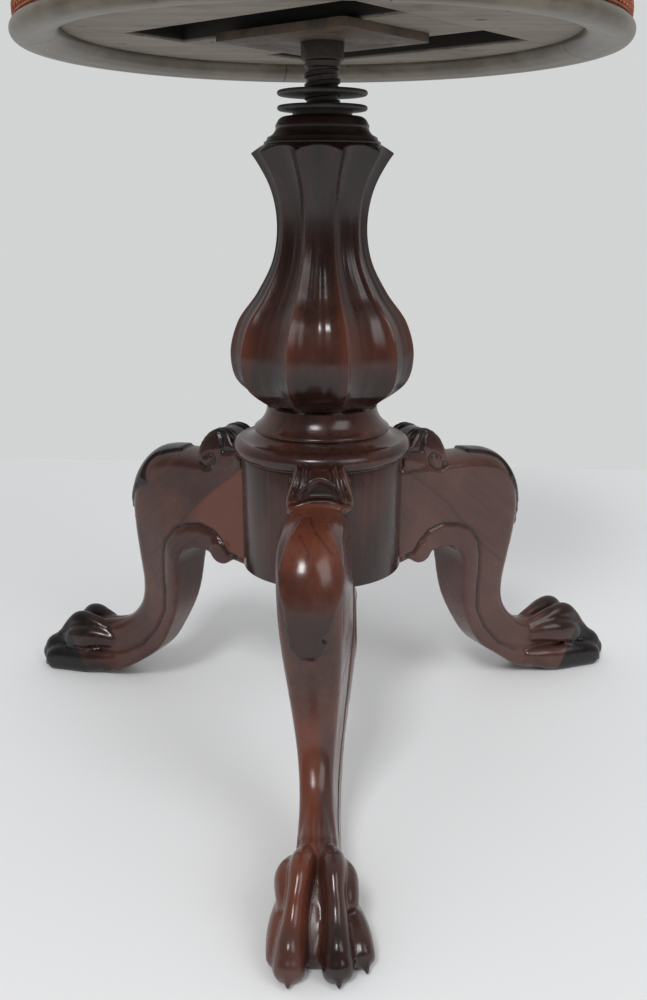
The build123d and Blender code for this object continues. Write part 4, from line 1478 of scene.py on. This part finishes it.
def base_cloth_mesh():
    """Hessian stretched over the webbing, dipping a little between the strips."""
    rings, steps = 48, 160
    sine, cosine = math.sin(FRAME_ANGLE), math.cos(FRAME_ANGLE)
    wave = 2 * math.pi / WEBBING_PITCH
    points, weave = [], []
    for level in (0.0, 0.6):
        for i in range(rings + 1):
            r = BASE_CLOTH_RADIUS * i / rings
            for k in range(steps):
                t = 2 * math.pi * k / steps
                x, y = r * math.cos(t), r * math.sin(t)
                u, v = x * cosine + y * sine, y * cosine - x * sine
                dip = 0.12 * (math.cos(wave * u) + math.cos(wave * v)) - 0.12
                points.append((x, y, BASE_CLOTH_LOW + dip + level))
                weave.append((u, v, 0.0))
    edge = [rings * steps + k for k in range(steps)]
    mesh = mesh_from(points, sheet_faces(rings + 1, steps, edge, loop=True))
    set_attribute(mesh, "weave", weave)
    return outward(mesh)


# ------------------------------------------------------------------ stage, in metres and degrees
FLOOR_CORNERS = [(-4, -4, 0), (4, -4, 0), (4, 0.46, 0), (-4, 1.0, 0)]
LIT_PLACE = Vector((0, 0, 0.25))
CAMERA_PLACE = (-0.0007, -0.6523, 0.3705)
CAMERA_TURN = (90 - 17.07, -0.11, -0.13)


def studio_world(wall):
    """World with the wall for the camera, an even grey for light and a soft gradient for reflections."""
    world = bpy.data.worlds.new("studio")
    world.use_nodes = True
    world.node_tree.nodes.clear()
    graph = Graph(world.node_tree)
    to_camera = graph.node("ShaderNodeLightPath")
    glossy = graph.node("ShaderNodeLightPath", output=3)
    depth = graph.node("ShaderNodeSeparateXYZ", {}, {0: graph.node("ShaderNodeTexCoord")}, 1)
    shine = graph.mix(depth.step(-0.7, 0.8), (0.10, 0.10, 0.105), (0.52, 0.52, 0.52))
    seen = graph.mix(to_camera, graph.mix(glossy, (0.60, 0.60, 0.60), shine), wall)
    graph.node("ShaderNodeOutputWorld", {}, {0: graph.node("ShaderNodeBackground", {}, {0: seen})}, None)
    return world


# ------------------------------------------------------------------ properties
def colour_property(name, default, description):
    settings = {"size": 3, "subtype": "COLOR", "min": 0.0, "max": 1.0}
    return bpy.props.FloatVectorProperty(name=name, default=default, description=description, **settings)


def number_property(name, default, description, **settings):
    return bpy.props.FloatProperty(name=name, default=default, min=0.0, description=description, **settings)


class StoolPedestal(bpy.types.PropertyGroup):
    """Colours and gloss of the pedestal."""

    deep: colour_property("Deep polish", (0.014, 0.0065, 0.0055), "Colour where the polish lies thick")
    warm: colour_property("Warm wood", (0.120, 0.033, 0.018), "Colour where the wood shows through")
    vase_warmth: number_property("Vase warmth", 0.35, "Share of warm wood on the vase", max=1.0)
    drum_warmth: number_property("Drum warmth", 0.55, "Share of warm wood on the drum", max=1.0)
    leg_warmth: number_property("Leg warmth", 0.50, "Share of warm wood on the legs", max=1.0)
    gloss: number_property("Gloss", 0.17, "Roughness of the polish", max=1.0)
    voxel: number_property("Leg voxel", 0.0011, "Cell of the skin over the carved legs", unit="LENGTH")


class StoolSeat(bpy.types.PropertyGroup):
    """Colours of the seat."""

    cover: colour_property("Cover", (0.320, 0.088, 0.046), "Colour of the looped pile")
    cover_light: colour_property("Cover light", (0.460, 0.165, 0.095), "Colour of the lit loops")
    gimp: colour_property("Gimp", (0.260, 0.080, 0.045), "Colour of the band round the cover's edge")
    # near black: aged webbing, made darker still to stand for the painted shade in the wells
    webbing: colour_property("Webbing", (0.009, 0.0075, 0.006), "Colour of the aged webbing")
    board_light: colour_property("Board", (0.250, 0.220, 0.184), "Lighter colour of the boards")
    board_dark: colour_property("Board grain", (0.180, 0.152, 0.122), "Darker colour of the boards")


class StoolIron(bpy.types.PropertyGroup):
    """Colours of the iron and the pitch of the thread."""

    iron: colour_property("Iron", (0.060, 0.050, 0.046), "Colour of the bare iron")
    rust: colour_property("Rust", (0.088, 0.058, 0.036), "Colour of the rust on the plate")
    pitch: number_property("Thread pitch", 0.006, "Rise of the screw in one turn", unit="LENGTH")


class StoolStage(bpy.types.PropertyGroup):
    """Floor, wall and light."""

    floor: colour_property("Floor", (0.83, 0.84, 0.85), "Colour of the floor")
    wall: colour_property("Wall", (0.645, 0.66, 0.655), "Colour behind the floor's far edge")
    key: number_property("Key light", 36.0, "Power of the left light", unit="POWER")
    fill: number_property("Fill light", 16.0, "Power of the right light", unit="POWER")


GROUPS = {
    "stool_pedestal": StoolPedestal,
    "stool_seat": StoolSeat,
    "stool_iron": StoolIron,
    "stool_stage": StoolStage,
}


# ------------------------------------------------------------------ operators
class STOOL_OT_pedestal(bpy.types.Operator):
    """Builds the drum, its moulding, the fluted vase and the collar"""

    bl_idname = "stool.pedestal"
    bl_label = "Turned column"

    def execute(self, context):
        p = context.scene.stool_pedestal
        deep, warm = tuple(p.deep), tuple(p.warm)
        finishes = (
            ("vase_mahogany", deep, p.vase_warmth, p.gloss),
            ("drum_mahogany", deep, p.drum_warmth, p.gloss),
            # painted highlight: the moulding's deep colour is lifted to stand for the torus's bright
            # reflection
            ("moulding_mahogany_painted_highlight", shade(deep, 1.7), p.drum_warmth, p.gloss),
            ("collar_mahogany", deep, 0.05, p.gloss + 0.15),
        )
        vase, drum, moulding, collar = [
            polished_mahogany(name, base, warm, warmth, gloss) for name, base, warmth, gloss in finishes
        ]
        finish_piece("vase", vase_mesh(), vase, "base", ["carved_vase"], VASE_CREASE)
        for name, node, profile, finish in (
            ("drum", "drum_block", drum_profile, drum),
            ("moulding", "base_moulding", moulding_profile, moulding),
            ("collar", "top_collar", collar_profile, collar),
        ):
            finish_piece(name, lathe(profile()), finish, "base", [node], TURNED_CREASE)
        return {"FINISHED"}


class STOOL_OT_legs(bpy.types.Operator):
    """Builds the three carved legs"""

    bl_idname = "stool.legs"
    bl_label = "Carved legs"

    def execute(self, context):
        p = context.scene.stool_pedestal
        leg = polished_mahogany("leg_mahogany", tuple(p.deep), tuple(p.warm), p.leg_warmth, p.gloss, "grain")
        for name in LEG_ANGLES:
            mesh = leg_mesh(name, p.voxel)
            finish_piece("carved_" + name, mesh, leg, "base", [name], NO_CREASE)
        return {"FINISHED"}


class STOOL_OT_ironwork(bpy.types.Operator):
    """Builds the screw, nut, plate, wood screws and the two washers"""

    bl_idname = "stool.ironwork"
    bl_label = "Screw, plate and washers"

    def execute(self, context):
        p = context.scene.stool_iron
        dark = forged_iron("screw_iron", tuple(p.iron), tuple(p.rust), 0.10)
        rusty = forged_iron("plate_iron", tuple(p.iron), tuple(p.rust), 0.42)
        leather = pressed_leather("washer_leather")
        core = lathe(screw_core_profile(), 96)
        low, high = SCREW_BOTTOM + THREAD_MARGIN, BOSS_BOTTOM - THREAD_MARGIN
        thread = thread_mesh(low, high, round(p.pitch / MM, 4))
        screw = join_meshes([core, thread])
        finish_piece("threaded_screw", screw, dark, "seat", ["seat_screw"], IRON_CREASE)
        finish_piece("nut", softened("screw_nut", 0.4), dark, "base", ["screw_nut"], IRON_CREASE)
        plate = softened("screw_plate", 0.6)
        finish_piece("plate", plate, rusty, "seat", ["screw_plate"], IRON_CREASE)
        blank = linked("screw_blank", wood_screw_mesh())
        sine, cosine = math.sin(FRAME_ANGLE), math.cos(FRAME_ANGLE)
        places = [(x * cosine - y * sine, x * sine + y * cosine, PLATE_BOTTOM) for x, y in WOOD_SCREWS]
        screws = run_group(screws_tree(dark), mesh_from(places, []), {"Screw": blank, "Seed": 5})
        bpy.data.objects.remove(blank)
        finish_piece("slotted_screws", outward(screws), dark, "seat", ["plate_screws"], IRON_CREASE)
        washers = (("washer_low", "base", "lower_washer"), ("washer_high", "riser", "upper_washer"))
        for (name, body, node), low in zip(washers, WASHER_LOWS):
            washer = lathe(washer_profile(low))
            finish_piece(name, washer, leather, body, [node], TURNED_CREASE)
        return {"FINISHED"}


class STOOL_OT_frame(bpy.types.Operator):
    """Builds the boards and the moulded rim under the seat"""

    bl_idname = "stool.frame"
    bl_label = "Seat frame"

    def execute(self, context):
        p = context.scene.stool_seat
        light, dark = tuple(p.board_light), tuple(p.board_dark)
        crossing = -FRAME_ANGLE - math.pi / 2
        along = raw_board("board_along", -FRAME_ANGLE, light, dark)
        across = raw_board("board_across", crossing, light, dark)
        plank = raw_board("board_plank", crossing, shade(light, 0.85), shade(dark, 0.85))
        for node, material in (
            ("full_board_right", along),
            ("full_board_left", along),
            ("cross_board_front", across),
            ("cross_board_back", across),
            ("cross_plank", plank),
        ):
            board = softened(node, 0.5)
            finish_piece("shown_" + node, board, material, "seat", [node], BOARD_CREASE)
        rim = rim_wood("rim_mahogany")
        for i in range(4):
            node, mesh = f"rim_segment_{i + 1}", rim_mesh(i)
            finish_piece("shown_" + node, mesh, rim, "seat", [node], TURNED_CREASE)
        return {"FINISHED"}


class STOOL_OT_upholstery(bpy.types.Operator):
    """Builds the webbing, base cloth, padded cover and gimp"""

    bl_idname = "stool.upholstery"
    bl_label = "Upholstery"

    def execute(self, context):
        p = context.scene.stool_seat
        pile, light, band, web = tuple(p.cover), tuple(p.cover_light), tuple(p.gimp), tuple(p.webbing)
        cover = woven("looped_pile", pile, light, 2.3, 0.0009, 0.5, sheen=0.12)
        gimp = woven("gimp_band", band, light, 1.7, 0.0006, 0.6)
        jute = woven("jute", web, shade(web, 1.25), 1.6, 0.0005, 0.5)
        hessian = woven("hessian", web, shade(web, 1.1), 1.1, 0.0004, 0.5)
        nodes = ["seat_cover", "stuffing_pad"]
        pad = finish_piece("padded_cover", cover_mesh(), cover, "seat", nodes, COVER_CREASE)
        finish_piece("gimp", braid_mesh(), gimp, "seat", ["braid"], TRIM_CREASE)
        for node, crossing in (("webbing_lengthwise", False), ("webbing_crosswise", True)):
            mesh = webbing_mesh(crossing)
            finish_piece("shown_" + node, mesh, jute, "seat", [node], WEB_CREASE)
        mesh = base_cloth_mesh()
        finish_piece("shown_base_cloth", mesh, hessian, "seat", ["base_cloth"], TRIM_CREASE)
        return {"FINISHED"}


class STOOL_OT_stage(bpy.types.Operator):
    """Sets the floor, the wall's colour, the lights and the camera"""

    bl_idname = "stool.stage"
    bl_label = "Stage"

    def execute(self, context):
        p = context.scene.stool_stage
        scene = context.scene
        floor_mesh = bpy.data.meshes.new("floor")
        floor_mesh.from_pydata(FLOOR_CORNERS, [], [(0, 1, 2, 3)])
        floor = linked("floor", floor_mesh)
        paint = {"Base Color": tuple(p.floor), "Roughness": 0.85, "Specular IOR Level": 0.2}
        floor_mesh.materials.append(new_material("floor_paint", lambda graph: paint))
        scene.world = studio_world(tuple(p.wall))
        for name, place, size, power in (
            ("key_light", (-0.62, -2.1, 2.5), 0.6, p.key),
            ("fill_light", (1.5, -1.6, 1.8), 1.2, p.fill),
        ):
            data = bpy.data.lights.new(name, "AREA")
            data.shape = "RECTANGLE"
            data.size, data.size_y = size, size * 1.3
            data.energy = power
            lamp = linked(name, data)
            lamp.location = place
            lamp.rotation_euler = (LIT_PLACE - Vector(place)).to_track_quat("-Z", "Y").to_euler()
        data = bpy.data.cameras.new("photo_camera")
        data.sensor_width = 36.0
        data.lens = 36.0
        camera = linked("photo_camera", data)
        camera.location = CAMERA_PLACE
        camera.rotation_euler = [math.radians(turn) for turn in CAMERA_TURN]
        scene.camera = camera
        scene.view_settings.view_transform = "Standard"
        return {"FINISHED"}


OPERATORS = (
    STOOL_OT_pedestal,
    STOOL_OT_legs,
    STOOL_OT_ironwork,
    STOOL_OT_frame,
    STOOL_OT_upholstery,
    STOOL_OT_stage,
)


class STOOL_PT_panel(bpy.types.Panel):
    """Lists the steps and their settings"""

    bl_idname = "STOOL_PT_panel"
    bl_label = "Piano stool"
    bl_space_type = "VIEW_3D"
    bl_region_type = "UI"
    bl_category = "Piano stool"

    def draw(self, context):
        layout = self.layout
        for operator in OPERATORS:
            layout.operator(operator.bl_idname)
        for name, kind in GROUPS.items():
            box = layout.box()
            box.label(text=name.replace("_", " "))
            for key in kind.__annotations__:
                box.prop(getattr(context.scene, name), key)


CLASSES = (*GROUPS.values(), *OPERATORS, STOOL_PT_panel)


def register():
    for kind in CLASSES:
        bpy.utils.register_class(kind)
    for name, kind in GROUPS.items():
        setattr(bpy.types.Scene, name, bpy.props.PointerProperty(type=kind))


def unregister():
    for name in GROUPS:
        delattr(bpy.types.Scene, name)
    for kind in reversed(CLASSES):
        bpy.utils.unregister_class(kind)


def main():
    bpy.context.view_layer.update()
    register()
    bpy.ops.stool.pedestal()
    bpy.ops.stool.legs()
    bpy.ops.stool.ironwork()
    bpy.ops.stool.frame()
    bpy.ops.stool.upholstery()
    bpy.ops.stool.stage()


if __name__ == "__main__":
    main()
